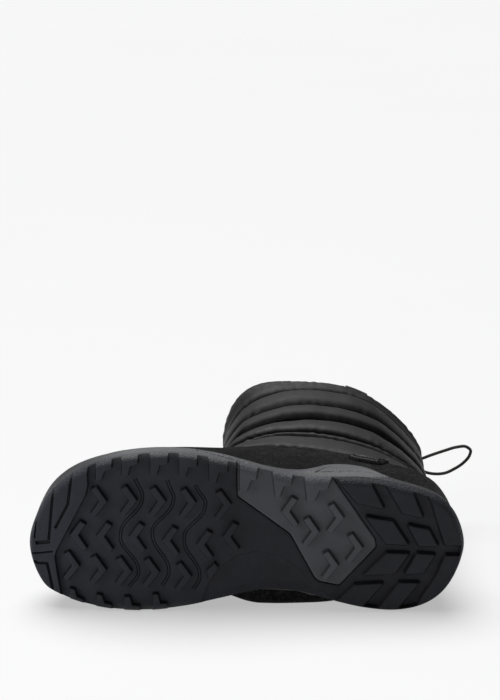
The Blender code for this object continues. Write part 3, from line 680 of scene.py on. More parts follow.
def l_lug(edge, station, long_leg, short_leg, width, sign):
    def e(x):
        return edge(x) - sign*1.0
    a, b, c = station, station - 0.36*width, station - 0.54*width
    d = station - width
    return ((a, e(a) + sign*5), (a, e(a) - sign*long_leg), (b, e(b) - sign*long_leg),
            (c, e(c) - sign*short_leg*1.2), (d, e(d) - sign*short_leg), (d, e(d) + sign*5))


def insert_loop(grow):
    """Outline of the insert, along the sole's edge on the outer side."""
    xs = np.linspace(INSERT_BACK, INSERT_FRONT, 7)
    c = [(x, outer(x) + 8.0) for x in xs] + [p for p in INSERT]
    p, n = rounded(c, 2.6, 0.5)
    return p + grow*n, n


def painted_shade_mask(t, p):
    """Where painted shade lies: walls and feet of the lugs, edge of the sunk field."""
    h = t.height(p)
    low = np.where(h < 0.5*TREAD, 0.85*t.foot(p), 0)
    return np.maximum(np.maximum(steep(h), low), 0.9*smooth(-0.02, -0.2, h)*smooth(-1.12, -0.9, h))


def make_outsole(mat):
    loop = resample(EDGE, 0.4)
    if np.sum(loop[:, 0]*np.roll(loop[:, 1], -1) - np.roll(loop[:, 0], -1)*loop[:, 1]) < 0:
        loop = loop[::-1]
    under = smooth(INSERT_BACK - 1.0, INSERT_BACK + 0.5, loop[:, 0])*smooth(INSERT_FRONT + 0.4, INSERT_FRONT - 0.6, loop[:, 0])
    loop[:, 1] -= 0.9*under*(loop[:, 1] > 0)
    t = Tread(loop)
    for piece, x, y, way in CHEVRONS:
        if piece == "outsole":
            t.add("raise", [(x + way*dx, y + dy) for dx, dy in CHEVRON], TREAD, RISE)
    for row in OUTER_LUGS:
        t.add("raise", l_lug(outer, *row, 1), TREAD, RISE)
    for row in INNER_LUGS:
        t.add("raise", l_lug(inner, *row, -1), TREAD, RISE)
    for piece, corners in BLOCKS:
        if piece == "outsole":
            t.add("raise", corners, TREAD, RISE)
    for corners in HEEL_BLOCKS:
        t.add("raise", corners, TREAD, SLOPE)
    t.add("raise", heel_lip(), TREAD, RISE, 1.0)
    t.add("raise", TOE_PAD, TREAD, RISE, 2.5)
    for name, width, points in SLOTS:
        t.add("cut", slot_corners(width, points), 1.9, CUT, 0.3)
    for points in SIPES:
        for part in (-1, 1):
            t.add("cut", slot_corners(0.5, beside(curve(points, 1.6), 0.85*part)), 0.8, FINE, 0.15)
    t.add("sink", WAIST, 1.1, DIP, 2.0)
    t.add("sink", insert_loop(0.45)[0], 2.3, CUT, 0.2)
    p, tris, rim = t.build()
    e = np.maximum(-signed(p, t.line), 0)
    z = np.minimum(carve(TREAD - t.height(p), shoulder(e, reach(p))), TREAD + SHEET - 0.06)
    top = np.column_stack([p, ground(p[:, 0]) + z])
    ring = top[rim]
    rows = []
    for share in (0.5, 1.0):
        r = ring.copy()
        r[:, 2] = ring[:, 2]*(1 - share) + (ground(ring[:, 0]) + TREAD + SHEET - 0.02)*share
        rows.append(r)
    verts, faces = close_below(top, tris, rim, rows)
    far = np.concatenate([e, np.zeros(len(verts) - len(e))])
    grey = np.exp(-(far/2.6)**2)*smooth(84, 96, verts[:, 0])*smooth(250, 218, verts[:, 0])
    # Painted shade: on the inner side the grey edge colour stops short of the waist, which lies in shade under the
    # arch.
    grey *= np.where(verts[:, 1] > axis(verts[:, 0]), 1.0, smooth(175, 205, verts[:, 0]))
    # Attributes for the material: grey sidewall colour and pebble grain near the edge, painted shade on lug walls and
    # feet, painted light growing from heel to toe.
    return put("outsole", settle(verts, 0.1), outward(verts, faces), mat, "outsole",
               uv=verts[:, :2], values={"edge": grey, "painted_toe_light": np.interp(verts[:, 0], (0, 140, 190, 240, 285), (0.0, 0.0, 0.6, 0.65, 1.0)), "grain": smooth(7.5, 1.0, far), "wall": np.concatenate([painted_shade_mask(t, p), np.zeros(len(verts) - len(p))])})


def make_insert(mat):
    p, n = insert_loop(-0.1)
    over = outer(p[:, 0])
    p[:, 1] = np.minimum(p[:, 1], over)
    loop = resample(p, 0.4)
    t = Tread(loop)
    for piece, x, y, way in CHEVRONS:
        if piece == "tread_insert":
            t.add("raise", [(x + way*dx, y + dy) for dx, dy in CHEVRON], TREAD, RISE)
    for piece, corners in BLOCKS:
        if piece == "tread_insert":
            t.add("raise", corners, TREAD, RISE)
    p, tris, rim = t.build()
    e = np.maximum(-signed(p, t.line), 0)
    over = np.maximum(outer(p[:, 0]) - p[:, 1], 0)
    z = carve(TREAD - t.height(p), shoulder(over, reach(p)))
    inner_edge = (e < 1.0) & (over > e + 0.3)
    z = np.minimum(z + np.where(inner_edge, 0.5*(1 - e)**2, 0), TREAD + SHEET - 0.06)
    top = np.column_stack([p, ground(p[:, 0]) + z])
    ring = top[rim]
    low = ring.copy()
    low[:, 2] = ground(ring[:, 0]) + TREAD + np.where(outer(ring[:, 0]) - ring[:, 1] < 0.5, SHEET - 0.04, 2.1)
    rows = [ring*0.5 + low*0.5, low]
    verts, faces = close_below(top, tris, rim, rows)
    far = np.concatenate([over, np.zeros(len(verts) - len(over))])
    # Attributes for the material: pebble grain near the edge, painted shade on lug walls and feet, and a fixed level of
    # the painted toe light.
    return put("tread_insert", settle(verts, 0.1), outward(verts, faces), mat, "tread_insert",
               uv=verts[:, :2], values={"edge": 0*far, "painted_toe_light": 0*far + 0.6, "grain": smooth(9.0, 1.0, far), "wall": np.concatenate([painted_shade_mask(t, p), np.zeros(len(verts) - len(p))])})


# ------------------------------------------------------------------ sidewall
def rand_shape(xi, side):
    """Rows of points on the skin under the rand, and a function to walk up on them."""
    fine = np.linspace(0, LEVEL["throat"], 61)
    p = skin(fine[:, None], xi, side)
    n = normals(p)
    stop = np.array([np.interp(rand_top(p[0, j, 0]), p[:, j, 2], fine) for j in range(len(xi))])
    j = np.arange(len(xi))

    def on_skin(share, off):
        v = stop*share
        i = np.clip(np.searchsorted(fine, v) - 1, 0, len(fine) - 2)
        t = ((v - fine[i])/(fine[i + 1] - fine[i]))[:, None]
        nor = n[i, j]*(1 - t) + n[i + 1, j]*t
        return p[i, j]*(1 - t) + p[i + 1, j]*t + off*nor
    return on_skin


RAND_LINES = (  # side, width, depth, points (station, share of the height) of the moulded lines
    (1, 0.70, 0.70, ((178.0, 0.40), (168.0, 0.50), (158.0, 0.44), (146.0, 0.20))),
    (1, 0.70, 0.70, ((178.0, 0.36), (168.0, 0.26), (158.0, 0.16), (146.0, 0.12))),
    (1, 0.70, 0.70, ((98.0, 0.28), (92.0, 0.55), (86.5, 0.78))),
    (1, 0.70, 0.70, ((86.5, 0.78), (71.0, 0.63), (56.5, 0.46))),
    (1, 0.70, 0.70, ((98.0, 0.28), (80.0, 0.30), (62.0, 0.40), (56.5, 0.46))),
    (1, 0.60, 0.50, ((226.0, 0.62), (205.0, 0.66), (185.0, 0.66))),
    (-1, 0.60, 0.50, ((226.0, 0.62), (190.0, 0.66), (150.0, 0.62))),
)
GREY_FROM = ((0.0, 80.0), (0.05, 67.0), (0.1, 61.0), (0.25, 55.0), (0.475, 47.3), (1.0, 41.0))  # share of height, station
GREY_TO = ((0.0, 400.0), (1.0, 400.0))


def make_midsole(mat):
    xi, side = around(800)
    x = HEEL_X + xi*(TOE_X - HEEL_X)
    bottom = np.column_stack([x, np.where(side > 0, outer(x), inner(x)), ground(x) + TREAD + SHEET])
    on_skin = rand_shape(xi, side)
    wall = (RAND_WALL*through(RAND_THICK, x))[:, None]
    lip = on_skin(1.0, GAP + wall)
    lip[:, 2] -= 1.0
    out = sideways(bottom)
    share = np.linspace(0, 1, 46)
    swell = RAND_SWELL*smooth(7.0, 15.0, np.linalg.norm(lip - bottom, axis=1))*smooth(265, 232, x)
    rows = np.array([bottom*(1 - s) + lip*s + (swell*np.sin(np.pi*s)**2)[:, None]*out for s in share])
    n = normals(rows)
    depth = np.zeros(rows.shape[:2])
    for which, width, deep, points in RAND_LINES:
        tall = np.linalg.norm(lip - bottom, axis=1)
        line = curve(points, 1.0)
        k = np.clip(np.searchsorted(x[:801], line[:, 0]), 0, 800)
        line = np.column_stack([line[:, 0], line[:, 1]*tall[k]])
        at = np.stack([np.broadcast_to(x, depth.shape), share[:, None]*tall[None]], -1)
        near = (side[None] == which) & (np.abs(at[..., 0] - line[:, 0].mean()) < np.ptp(line[:, 0])/2 + 4)
        d = np.full(depth.shape, 99.0)
        d[near] = to_line(at[near], line[:-1], line[1:])
        depth = np.maximum(depth, deep*np.exp(-(d/width)**2))
    front = np.array([np.interp(s, *np.array(GREY_TO).T) for s in share])[:, None]
    back = np.array([np.interp(s, *np.array(GREY_FROM).T) for s in share])[:, None]
    grey = np.minimum(front - x, x - back)
    seam = np.exp(-(grey/0.55)**2)*0.35
    rows = rows + (0.25*smooth(0.5, -0.5, grey) - depth - seam)[..., None]*n
    lip2 = on_skin(1.0, GAP + 0.9*wall)
    lip3 = on_skin(1.0, GAP + 0.35*wall)
    lip3[:, 2] += 0.12
    lip4 = on_skin(0.985, GAP*0.4)
    lip5 = on_skin(0.7, GAP*0.4)
    foot = on_skin(0.0, GAP)
    foot[:, 2] = footbed(foot[:, 0]) - GAP
    lip2[:, 2] -= 0.25
    rows = np.concatenate([rows, [lip2, lip3, lip4, lip5, foot]])
    q = settle(rows, 0.0)
    q[46:] = settle(rows[46:], 0.6)
    m, k = rows.shape[:2]
    t1, q1 = strips(0, k)
    t2, q2 = strips((m - 1)*k, k)
    v = rows.reshape(-1, 3)
    # Painted shade: the inner sidewall at the waist is made black, as it lies in shade under the arch.
    shade = np.where(side < 0, (np.abs(x - 128.0) - 62.0)/40.0, 1.0)
    zone = np.minimum(np.minimum(grey, shade), (238.0 - x)/60.0)
    zone = np.minimum(zone, 0.25 - 0.26*np.exp(-((x - 116.0)/20.0)**2)*(side > 0))
    zone = np.concatenate([zone, np.repeat(zone[-1:], m - 46, axis=0)])
    faces = outward(v, [np.concatenate([t1[:, ::-1], t2]), np.concatenate([band(m, k), q1[:, ::-1], q2])])
    s = np.concatenate([[0], np.cumsum(np.linalg.norm(np.diff(bottom, axis=0), axis=1))])
    uv = np.stack([np.broadcast_to(s, (m, k)), rows[..., 2]], -1).reshape(-1, 2)
    return put("midsole", q.reshape(-1, 3), faces, mat, "midsole", uv=uv, values={"zone": zone})


# ------------------------------------------------------------------ soft parts
def turn_share(p):
    """Share of the way round of each point of a closed ring."""
    d = np.linalg.norm(np.roll(p, -1, axis=0) - p, axis=1)
    return np.concatenate([[0], np.cumsum(d)[:-1]])/d.sum()


def shell(name, outside, inside, mat, node, low_out, low_in, uv=None, values=None):
    """Closed wall between outside rows and inside rows."""
    rows = np.concatenate([outside, inside[::-1]])
    q = np.concatenate([settle(outside, low_out), settle(inside, low_in)[::-1]])
    m, k = rows.shape[:2]
    v = rows.reshape(-1, 3)
    faces = outward(v, [band(m, k, loop=True)])
    if uv is None:
        s = turn_share(outside[len(outside)//2])*300
        up = np.concatenate([[0], np.cumsum(np.linalg.norm(np.diff(rows, axis=0), axis=-1).mean(axis=1))])
        uv = np.stack(np.broadcast_arrays(s[None], up[:, None]), -1).reshape(-1, 2)
    return put(name, q.reshape(-1, 3), faces, mat, node, uv=uv, values=values)


VAMP_CREASES = (  # station on the ridge, side slope, depth, width of the flex creases across the vamp
    (214.0, 0.10, 0.7, 3.4), (204.0, 0.16, 1.0, 3.6), (193.5, 0.22, 0.8, 3.2),
)
COUNTER = (  # share along, share of the upper's height at the heel counter's edge
    (0.0, 0.10), (0.078, 0.18), (0.103, 0.247), (0.122, 0.315), (0.141, 0.371), (0.161, 0.315),
    (0.178, 0.258), (0.20, 0.10), (0.23, -0.1),
)


def make_upper(mat):
    xi, side = around(230)
    share = np.linspace(0.0, 1.0, 66)
    v = LEVEL["throat"]*share
    p = skin(v[:, None], xi, side)
    n = normals(p)
    off = np.zeros(p.shape[:2])
    x, y = p[..., 0], p[..., 1] - axis(p[..., 0])
    high = smooth(0.45, 0.8, share)[:, None]
    for station, slope, deep, width in VAMP_CREASES:
        d = x - station + slope*np.abs(y)
        off -= high*deep*(np.exp(-(d/width)**2) - 0.55*np.exp(-((np.abs(d) - 1.9*width)/width)**2))*smooth(34, 8, np.abs(y))
    u = turn_share(p[30])
    off += 0.10*waves(u, (3, 5, 8, 13), 3)[None]*smooth(0.2, 0.6, share)[:, None]
    edge = smooth(0.93, 1.0, share)[:, None]
    off += 0.5*edge
    counter = np.interp(xi, *np.array(COUNTER).T)[None]
    off += 0.8*smooth(0.018, -0.018, share[:, None] - counter)
    q = p + off[..., None]*n
    hang = through(HANG, p[..., 0])*(smooth(0.01, 0.09, share)*smooth(1.0, 0.62, share))[:, None]
    q[..., 1] -= np.where(side < 0, hang, 0)
    curl = [q[-1] + 0.25*(q[-1] - q[-2]) - 0.35*n[-1], q[-1] + 0.32*(q[-1] - q[-2]) - 1.0*n[-1], q[-1] - 1.8*n[-1]]
    outside = np.concatenate([q, curl])
    inside = (p - 2.4*n)[[0, 12, 24, 36, 48, 58, 63]]
    for r in (outside, inside):
        r[0, :, 2] = footbed(r[0, :, 0])
    return shell("upper", outside, inside, mat, "upper", 0.0, 1.2)


def shaft_rows():
    """Levels, place in the channel and channel number of each row of the shaft."""
    stops = [LEVEL[c] for c in CHANNELS[:-1]] + [COLLAR_FROM]
    v, t, c = [], [], []
    for k, (a, b) in enumerate(zip(stops[:-1], stops[1:])):
        m = (28, 12, 28, 28, 28, 20)[k]
        tt = (1 - np.cos(np.pi*np.arange(m)/m))/2
        v += list(a + (b - a)*tt)
        t += list(tt)
        c += [k]*m
    return np.array(v + [COLLAR_FROM]), np.array(t + [1.0]), np.array(c + [len(stops) - 2])


CHANNEL_PUFF = (3.2, 2.9, 6.4, 7.2, 6.6, 4.4)   # padding of each channel, from the ankle up
SEAM_LOW = (("throat", 0.0), ("fold_low", 1.2), ("fold_high", 1.5), ("seam_3", 3.4), ("seam_2", 3.0), ("seam_1", 2.8), ("rim", 2.6))
CHANNEL_SHADE = (  # painted shade over each channel's lower seam: place in the channel where its darkest part ends, where it is light, least value
    (-0.10, 0.02, 3.0), (-0.10, 0.05, 3.0), (0.00, 0.18, 2.5), (0.16, 0.42, 0.7), (0.10, 0.34, 1.3), (0.10, 0.36, 2.0),
)
CHANNEL_TALL = (34.0, 9.0, 33.0, 31.0, 30.0, 16.0)
SHAFT_CREASES = (  # way round (share), level, half length round, half height, depth, lean
    (0.31, 0.60, 0.050, 0.020, 0.9, 0.0), (0.42, 0.585, 0.035, 0.016, 1.2, 0.5), (0.58, 0.59, 0.035, 0.016, 1.1, -0.5),
    (0.50, 0.565, 0.045, 0.014, 1.3, 0.0),
)


def make_shaft(mat):
    xi, side = around(230)
    v, t, c = shaft_rows()
    p = skin(v[:, None], xi, side)
    n = normals(p)
    u = turn_share(p[len(p)//2])
    tall = np.array(CHANNEL_TALL)[c]
    base = np.array(CHANNEL_PUFF)[c]*np.sqrt(1 - np.abs(2*t - 1)**2.5)
    puff = np.empty(p.shape[:2])
    for k in range(len(CHANNEL_PUFF)):
        row = c == k
        swing = 1 + 0.075*waves(u, (2, 3, 5, 7), 20 + k) + 0.035*waves(u, (11, 17, 23), 40 + k)
        puff[row] = base[row][:, None]*swing
    ends = np.maximum(smooth(0.30, 0.08, xi), smooth(0.86, 0.98, xi))[None]
    puff *= 1 - 0.48*ends
    concave = smooth(0.62, 0.92, xi)[None]
    puff *= 1 - 0.72*concave*np.where(c == 0, 1.0, np.where(c == 1, 0.6, 0.15))[:, None]
    for k in range(len(CHANNEL_PUFF) + 1):
        gather = waves(u, (37, 43, 52, 61, 71), 60 + k)
        gather = np.sign(gather)*np.abs(gather)**1.3
        strong = 0.5 + 0.5*np.clip(waves(u, (4, 6, 9), 80 + k) + 0.3, 0, 1.5)
        below = np.where(c == k - 1, (1 - t)*tall, 1e3)
        above = np.where(c == k, t*tall, 1e3)
        d = np.minimum(below, above)[:, None]
        amount = 0.80*np.exp(-d/2.8)*(1 - np.exp(-d/0.7))
        puff += amount*gather*strong - (0.9 if k else 0.3)*np.exp(-(d/0.9)**2)
    for at, lev, half, high, deep, lean in SHAFT_CREASES:
        du = (u[None] - at + lean*(v[:, None] - lev))/half
        dv = (v[:, None] - lev - 0.12*(u[None] - at))/high
        puff -= deep*np.exp(-du**2)*(np.exp(-dv**2) - 0.5*np.exp(-(np.abs(dv) - 1.7)**2))
    low = through([(LEVEL[a], b) for a, b in SEAM_LOW], v)*smooth(-0.002, -0.03, v - COLLAR_FROM)
    q = p + (puff - low[:, None])[..., None]*n
    tuck = [p[0] - 1.6*n[0] - 0.6*(p[1] - p[0])*8, p[0] - 0.9*n[0] - 0.3*(p[1] - p[0])*8]
    outside = np.concatenate([tuck, q])
    few = np.linspace(0, len(v) - 1, 14).round().astype(int)
    inside = (p - 4.9*n)[few]
    inside[0] = tuck[0] - 1.0*n[0]
    # Painted shade: these values darken the nylon over each channel's lower seam, where the valley between channels
    # lies in shade; small values are dark.
    dark, light, least = np.array(CHANNEL_SHADE)[c].T
    part = np.clip((t - dark)/(light - dark), 0, 1)
    gap = least + (4.6 - least)*part*part*(3 - 2*part)
    gap = np.where(c == len(CHANNEL_PUFF) - 1, gap, np.minimum(gap, (1 - t)*tall))
    seam = np.concatenate([[0, 0], gap, np.full(len(few), 9.0)])[:, None] + np.zeros(len(xi))
    ob = shell("shaft", outside, inside, mat, "shaft", 0.0, 1.6, values={"seam": seam})
    return ob


def make_collar(mat):
    xi, side = around(230)
    share = np.linspace(0, 1, 34)
    v = COLLAR_FROM + (1 - COLLAR_FROM)*share
    p = skin(v[:, None], xi, side)
    n = normals(p)
    u = turn_share(p[0])
    swell = 1.5*np.sin(np.pi*np.clip(share*1.04, 0, 1))**0.6 - 0.9
    gather = waves(u, (41, 47, 55, 64, 73), 7)
    gather = np.sign(gather)*np.abs(gather)**1.2
    slow = waves(u, (3, 5, 8, 12), 9)
    tuck = np.exp(-((share - 0.62)/0.045)**2)[:, None]
    near = np.exp(-np.abs(share - 0.62)/0.22)[:, None] + np.exp(-share/0.2)[:, None]
    off = swell[:, None]*(1 + 0.05*slow) + 0.30*gather*near*(1 - tuck) - 1.0*tuck
    q = p + off[..., None]*n
    q[..., 2] += 0.32*share[:, None]**2*slow
    top = q[-1]
    bend = [top + np.array((0, 0, 0.5)) - 0.9*n[-1], top + np.array((0, 0, 0.35)) - 1.9*n[-1]]
    outside = np.concatenate([[p[0] - 1.0*n[0]], q, bend])
    inside = np.array([p[0] - 2.9*n[0], p[12] - 3.0*n[12], p[24] - 2.9*n[24], p[31] - 2.6*n[31], p[33] - 2.4*n[33]])
    ob = shell("collar", outside, inside, mat, "collar", 0.0, 1.8)
    return ob


def make_lining(mat):
    """Pile lining inside the shaft and the foot, down to the footbed."""
    xi, side = around(150)
    v = np.concatenate([np.linspace(0.035, LEVEL["throat"], 26), np.linspace(LEVEL["throat"], COLLAR_FROM + 0.9*(1 - COLLAR_FROM), 60)[1:]])
    p = skin(v[:, None], xi, side)
    n = normals(p)
    u = turn_share(p[50])
    soft = 0.35*waves(u, (5, 9, 14, 22), 11)[None]*np.sin(9*v)[:, None] + 0.3*waves(v*3, (5, 8, 13), 12)[:, None]
    deep = 2.0*smooth(LEVEL["instep"], LEVEL["ankle"], v)[:, None]*smooth(1.0, COLLAR_FROM, v)[:, None]
    inner_face = p - (4.6 + deep + soft)[..., None]*n
    outer_face = (p - (3.6 + deep)[..., None]*n)[::6]
    for face in (inner_face, outer_face):   # kept back from the toe's tight bend
        face[..., 0] -= 0.3*np.maximum(face[..., 0] - 262, 0)
    rows = np.concatenate([inner_face, [p[-1] - 3.9*n[-1]]])
    ob = shell("lining", outer_face, rows, mat, None, 2.6, 3.6)
    return ob


def make_insole(mat):
    xi, side = around(110)
    p = skin(LEVEL["throat"]*np.array([0.0, 0.1, 0.2])[:, None], xi, side)
    n = normals(p)
    q = p - 5.4*n
    base = q[0] - 0.4*sideways(q[0])
    rows = []
    for rise, inset in ((0.1, 0.0), (2.6, 0.0), (3.5, 0.5), (4.0, 1.6)):
        r = base - inset*sideways(base)
        r[:, 2] = footbed(r[:, 0]) + rise
        rows.append(r)
    centre = np.column_stack([base[:, 0], axis(base[:, 0]), 0*base[:, 0]])
    for s in (0.25, 0.5, 0.75, 0.93):
        r = rows[3]*(1 - s) + centre*s
        r[:, 2] = footbed(r[:, 0]) + 4.0 - 1.1*np.sin(0.5*np.pi*s)
        rows.append(r)
    rows = np.array(rows)
    m, k = rows.shape[:2]
    v = rows.reshape(-1, 3)
    t1, q1 = strips(0, k)
    t2, q2 = strips((m - 1)*k, k)
    faces = outward(v, [np.concatenate([t1[:, ::-1], t2]), np.concatenate([band(m, k), q1[:, ::-1], q2])])
    return put("insole", lay(v), faces, mat, "insole", uv=v[:, :2])


def slab(low, out):
    """Closed plate between two grids of points."""
    n, m = low.shape[:2]
    quads = []
    for k in range(2*n):
        a, b = k*m, ((k + 1) % (2*n))*m
        quads += [(a + j, a + j + 1, b + j + 1, b + j) for j in range(m - 1)]
    for j, turn in ((0, 1), (m - 1, -1)):
        side = [(k*m + j, (k + 1)*m + j, (2*n - 2 - k)*m + j, (2*n - 1 - k)*m + j) for k in range(n - 1)]
        quads += [f[::turn] for f in side]
    verts = np.concatenate([low, out[::-1]]).reshape(-1, 3)
    return verts, outward(verts, [np.array(quads)])


def off_upper(xi, share, off):
    """Points standing off the upper's outer side."""
    xi, share, off = np.broadcast_arrays(np.asarray(xi, float), share, off)
    v, e, one = LEVEL["throat"]*share, 1e-3, np.ones(xi.shape)
    n = np.cross(skin(v, xi + e, one) - skin(v, xi - e, one), skin(v + e, xi, one) - skin(v - e, xi, one))
    n *= (np.sign(n[..., 1])/np.linalg.norm(n, axis=-1))[..., None]
    return skin(v, xi, one) + off[..., None]*n


TAB = (  # share along, low edge, high edge (shares of the upper's height) of the tab at the ankle
    (0.186, 0.45, 0.58), (0.20, 0.43, 0.78), (0.225, 0.45, 0.90), (0.25, 0.49, 0.95),
    (0.28, 0.56, 0.98), (0.31, 0.66, 0.99), (0.335, 0.78, 0.98),
)
TAB_ROWS = ((0.26, 0.206, 0.290), (0.10, 0.202, 0.296))   # place across, first and last share along of the stitches


def tab_point(along, across, off):
    low, high = through([r[:2] for r in TAB], along), through([(r[0], r[2]) for r in TAB], along)
    return off_upper(along, low + (high - low)*across, off)


def make_tab(mat, thread, piping):
    """Folded tab over the upper's top edge, its piping and its stitches."""
    along, across = np.linspace(0.187, 0.334, 61)[None], np.linspace(0, 1, 15)[:, None]
    end = np.clip(np.abs(2*(along - 0.187)/0.147 - 1), 0, 1)
    rise = (1 - np.abs(2*across - 1)**4)**0.5*np.sqrt(1 - end**8)
    rough = 0.35*waves(along[0]*6, (5, 9, 14), 31)[None]*smooth(0.29, 0.325, along)
    out = tab_point(along, across, 0.3 + (2.2 + rough)*rise)
    low = tab_point(along, across, np.full(out.shape[:2], -0.4))
    verts, faces = slab(low, out)
    put("ankle_tab", lay(verts), faces, mat, None, uv=verts[:, [0, 2]])
    line = tab_point(np.linspace(0.19, 0.315, 60), np.full(60, 0.93), np.full(60, 2.3))
    v, faces = tube(line, 0.6, 10)
    put("tab_piping", lay(v), faces, piping, None, uv=v[:, [0, 2]])
    every, parts, count = [], [], 0
    for across, a, b in TAB_ROWS:
        for s in np.arange(a, b, 0.0062):
            line = tab_point(np.linspace(s, s + 0.0042, 5), np.full(5, across), np.full(5, 0.45 + 2.2*(1 - abs(2*across - 1)**4)**0.5))
            v, faces = tube(line, 0.5, 8, np.array((-0.36, -0.08, 0.0, -0.08, -0.36))[:, None] + np.zeros(8))
            every.append(v)
            parts.append([f + count for f in faces])
            count += len(v)
    verts = np.concatenate(every)
    faces = [np.concatenate([p[k] for p in parts]) for k in range(2)]
    put("tab_stitches", lay(verts), faces, thread, None, uv=verts[:, [0, 2]])


def make_tag(mat):
    """Folded webbing tab sewn over the outside of the collar."""
    xi = np.linspace(0.27, 0.38, 25)
    v = COLLAR_FROM + (1 - COLLAR_FROM)*np.array([0.22, 0.40, 0.62, 0.82, 1.0, 1.0, 1.0])
    p = skin(v[:, None], xi, np.ones(25))
    stand = np.array([1.0, 1.1, 1.1, 0.9, 0.6, 0.5, 0.4])[:, None]
    low = p + np.stack([0*stand, stand, 0*stand], -1)
    low[4:, :, 2] += np.array((1.0, 2.2, 3.0))[:, None]
    out = low + np.array((0, TAG, 0))*np.array([1, 1, 1, 1, 1, 0.95, 0.6])[:, None, None]
    verts, faces = slab(low, out)
    return put("collar_tag", lay(verts), faces, mat, "collar_tag", uv=verts[:, [0, 2]])


CORD_PATH = (  # station, across, height
    (17.0, -6.0, 215.8), (10.4, -3.4, 215.0), (6.5, -1.6, 214.4), (2.3, 0.2, 213.6), (-5.2, 3.0, 213.0),
    (-14.2, 5.7, 213.0), (-21.1, 6.0, 213.0), (-24.6, 3.0, 213.0), (-24.0, -0.6, 213.0),
    (-19.1, -7.0, 213.0), (-12.4, -11.7, 213.0), (-5.6, -14.9, 213.0), (0.5, -15.7, 213.2),
    (7.0, -15.2, 214.0), (11.6, -14.0, 215.0),
)


def tube(path, radius, ring, relief=None):
    """Tube along points, closed at both ends."""
    t = np.gradient(path, axis=0)
    t /= np.linalg.norm(t, axis=1, keepdims=True)
    a = np.cross(t, np.array((0.0, 0.0, 1.0)))
    a /= np.linalg.norm(a, axis=1, keepdims=True)
    b = np.cross(a, t)
    ang = np.arange(ring)*2*np.pi/ring
    r = np.full((len(path), ring), radius) if relief is None else radius + relief
    rows = path[:, None] + r[..., None]*(np.cos(ang)[None, :, None]*a[:, None] + np.sin(ang)[None, :, None]*b[:, None])
    m = len(path)
    v = np.concatenate([rows.reshape(-1, 3), path[:1], path[-1:]])
    k = np.arange(ring)
    tris = np.concatenate([np.stack([k, (k + 1) % ring, np.full(ring, m*ring)], 1),
                           np.stack([(m - 1)*ring + (k + 1) % ring, (m - 1)*ring + k, np.full(ring, m*ring + 1)], 1)])
    return v, outward(v, [tris, band(m, ring)[:, ::-1]])


def make_cord(mat):
    path = curve(CORD_PATH, 0.35)
    s = np.concatenate([[0], np.cumsum(np.linalg.norm(np.diff(path, axis=0), axis=1))])
    ring = 20
    ang = np.arange(ring)*2*np.pi/ring
    weave = np.sin(4*ang[None] + s[:, None]*2*np.pi/1.9)*np.sin(4*ang[None] - s[:, None]*2*np.pi/1.9)
    v, faces = tube(path, CORD/2 - 0.05, ring, 0.07*weave)
    uv = np.concatenate([np.stack(np.broadcast_arrays(s[:, None], ang[None]), -1).reshape(-1, 2), [[0, 0], [s[-1], 0]]])
    ob = put("drawcord_loop", lay(v), faces, mat, "drawcord_loop", uv=uv)
    return ob


# ------------------------------------------------------------------ materials
class Look:
    """A Principled material and its nodes."""

    def __init__(self, name, rough, **sockets):
        self.m = bpy.data.materials.new(name)
        self.m.use_nodes = True
        self.tree = self.m.node_tree
        self.b = self.tree.nodes["Principled BSDF"]
        self.b.inputs["Roughness"].default_value = rough
        for key, value in sockets.items():
            self.b.inputs[key.replace("_", " ")].default_value = value
        self.place = self.new("ShaderNodeTexCoord").outputs["Object"]

    def new(self, kind, **inputs):
        n = self.tree.nodes.new(kind)
        for key, value in inputs.items():
            key = key.replace("_", " ")
            if hasattr(value, "is_linked"):
                self.tree.links.new(value, n.inputs[key])
            else:
                n.inputs[key].default_value = value
        return n

    def noise(self, scale, detail=3.0, rough=0.5, place=None):
        n = self.new("ShaderNodeTexNoise", Scale=scale, Detail=detail, Roughness=rough)
        self.tree.links.new(place or self.place, n.inputs["Vector"])
        return n.outputs["Fac"]

    def cells(self, scale, place=None):
        n = self.new("ShaderNodeTexVoronoi", Scale=scale)
        n.feature = "SMOOTH_F1"
        n.inputs["Smoothness"].default_value = 0.35
        self.tree.links.new(place or self.place, n.inputs["Vector"])
        return n.outputs["Distance"]

    def maths(self, how, a, b=0.0, c=0.0):
        n = self.tree.nodes.new("ShaderNodeMath")
        n.operation = how
        for k, value in enumerate((a, b, c)):
            if hasattr(value, "is_linked"):
                self.tree.links.new(value, n.inputs[k])
            else:
                n.inputs[k].default_value = value
        return n.outputs[0]

    def ramp(self, value, *stops):
        n = self.tree.nodes.new("ShaderNodeValToRGB")
        while len(n.color_ramp.elements) < len(stops):
            n.color_ramp.elements.new(0.5)
        for e, (at, colour) in zip(n.color_ramp.elements, stops):
            e.position = at
            e.color = (*colour, 1) if hasattr(colour, "__len__") else (colour, colour, colour, 1)
        self.tree.links.new(value, n.inputs["Fac"])
        return n.outputs["Color"]

    def span(self, value, low, high, a=0.0, b=1.0):
        n = self.new("ShaderNodeMapRange", **{"From Min": a, "From Max": b, "To Min": low, "To Max": high})
        self.tree.links.new(value, n.inputs["Value"])
        return n.outputs["Result"]

    def mix(self, fac, a, b):
        n = self.tree.nodes.new("ShaderNodeMix")
        n.data_type = "RGBA"
        self.tree.links.new(fac, n.inputs["Factor"])
        for k, value in ((6, a), (7, b)):
            if hasattr(value, "is_linked"):
                self.tree.links.new(value, n.inputs[k])
            else:
                n.inputs[k].default_value = (*value, 1)
        return n.outputs[2]

    def bump(self, height, distance, strength=1.0, under=None):
        n = self.new("ShaderNodeBump", Strength=strength, Distance=distance)
        self.tree.links.new(height, n.inputs["Height"])
        if under is not None:
            self.tree.links.new(under, n.inputs["Normal"])
        return n.outputs["Normal"]

    def wire(self, **sockets):
        for key, value in sockets.items():
            self.tree.links.new(value, self.b.inputs[key.replace("_", " ")])
        return self.m


def tint(c, k):
    return tuple(min(v*k, 1.0) for v in c)


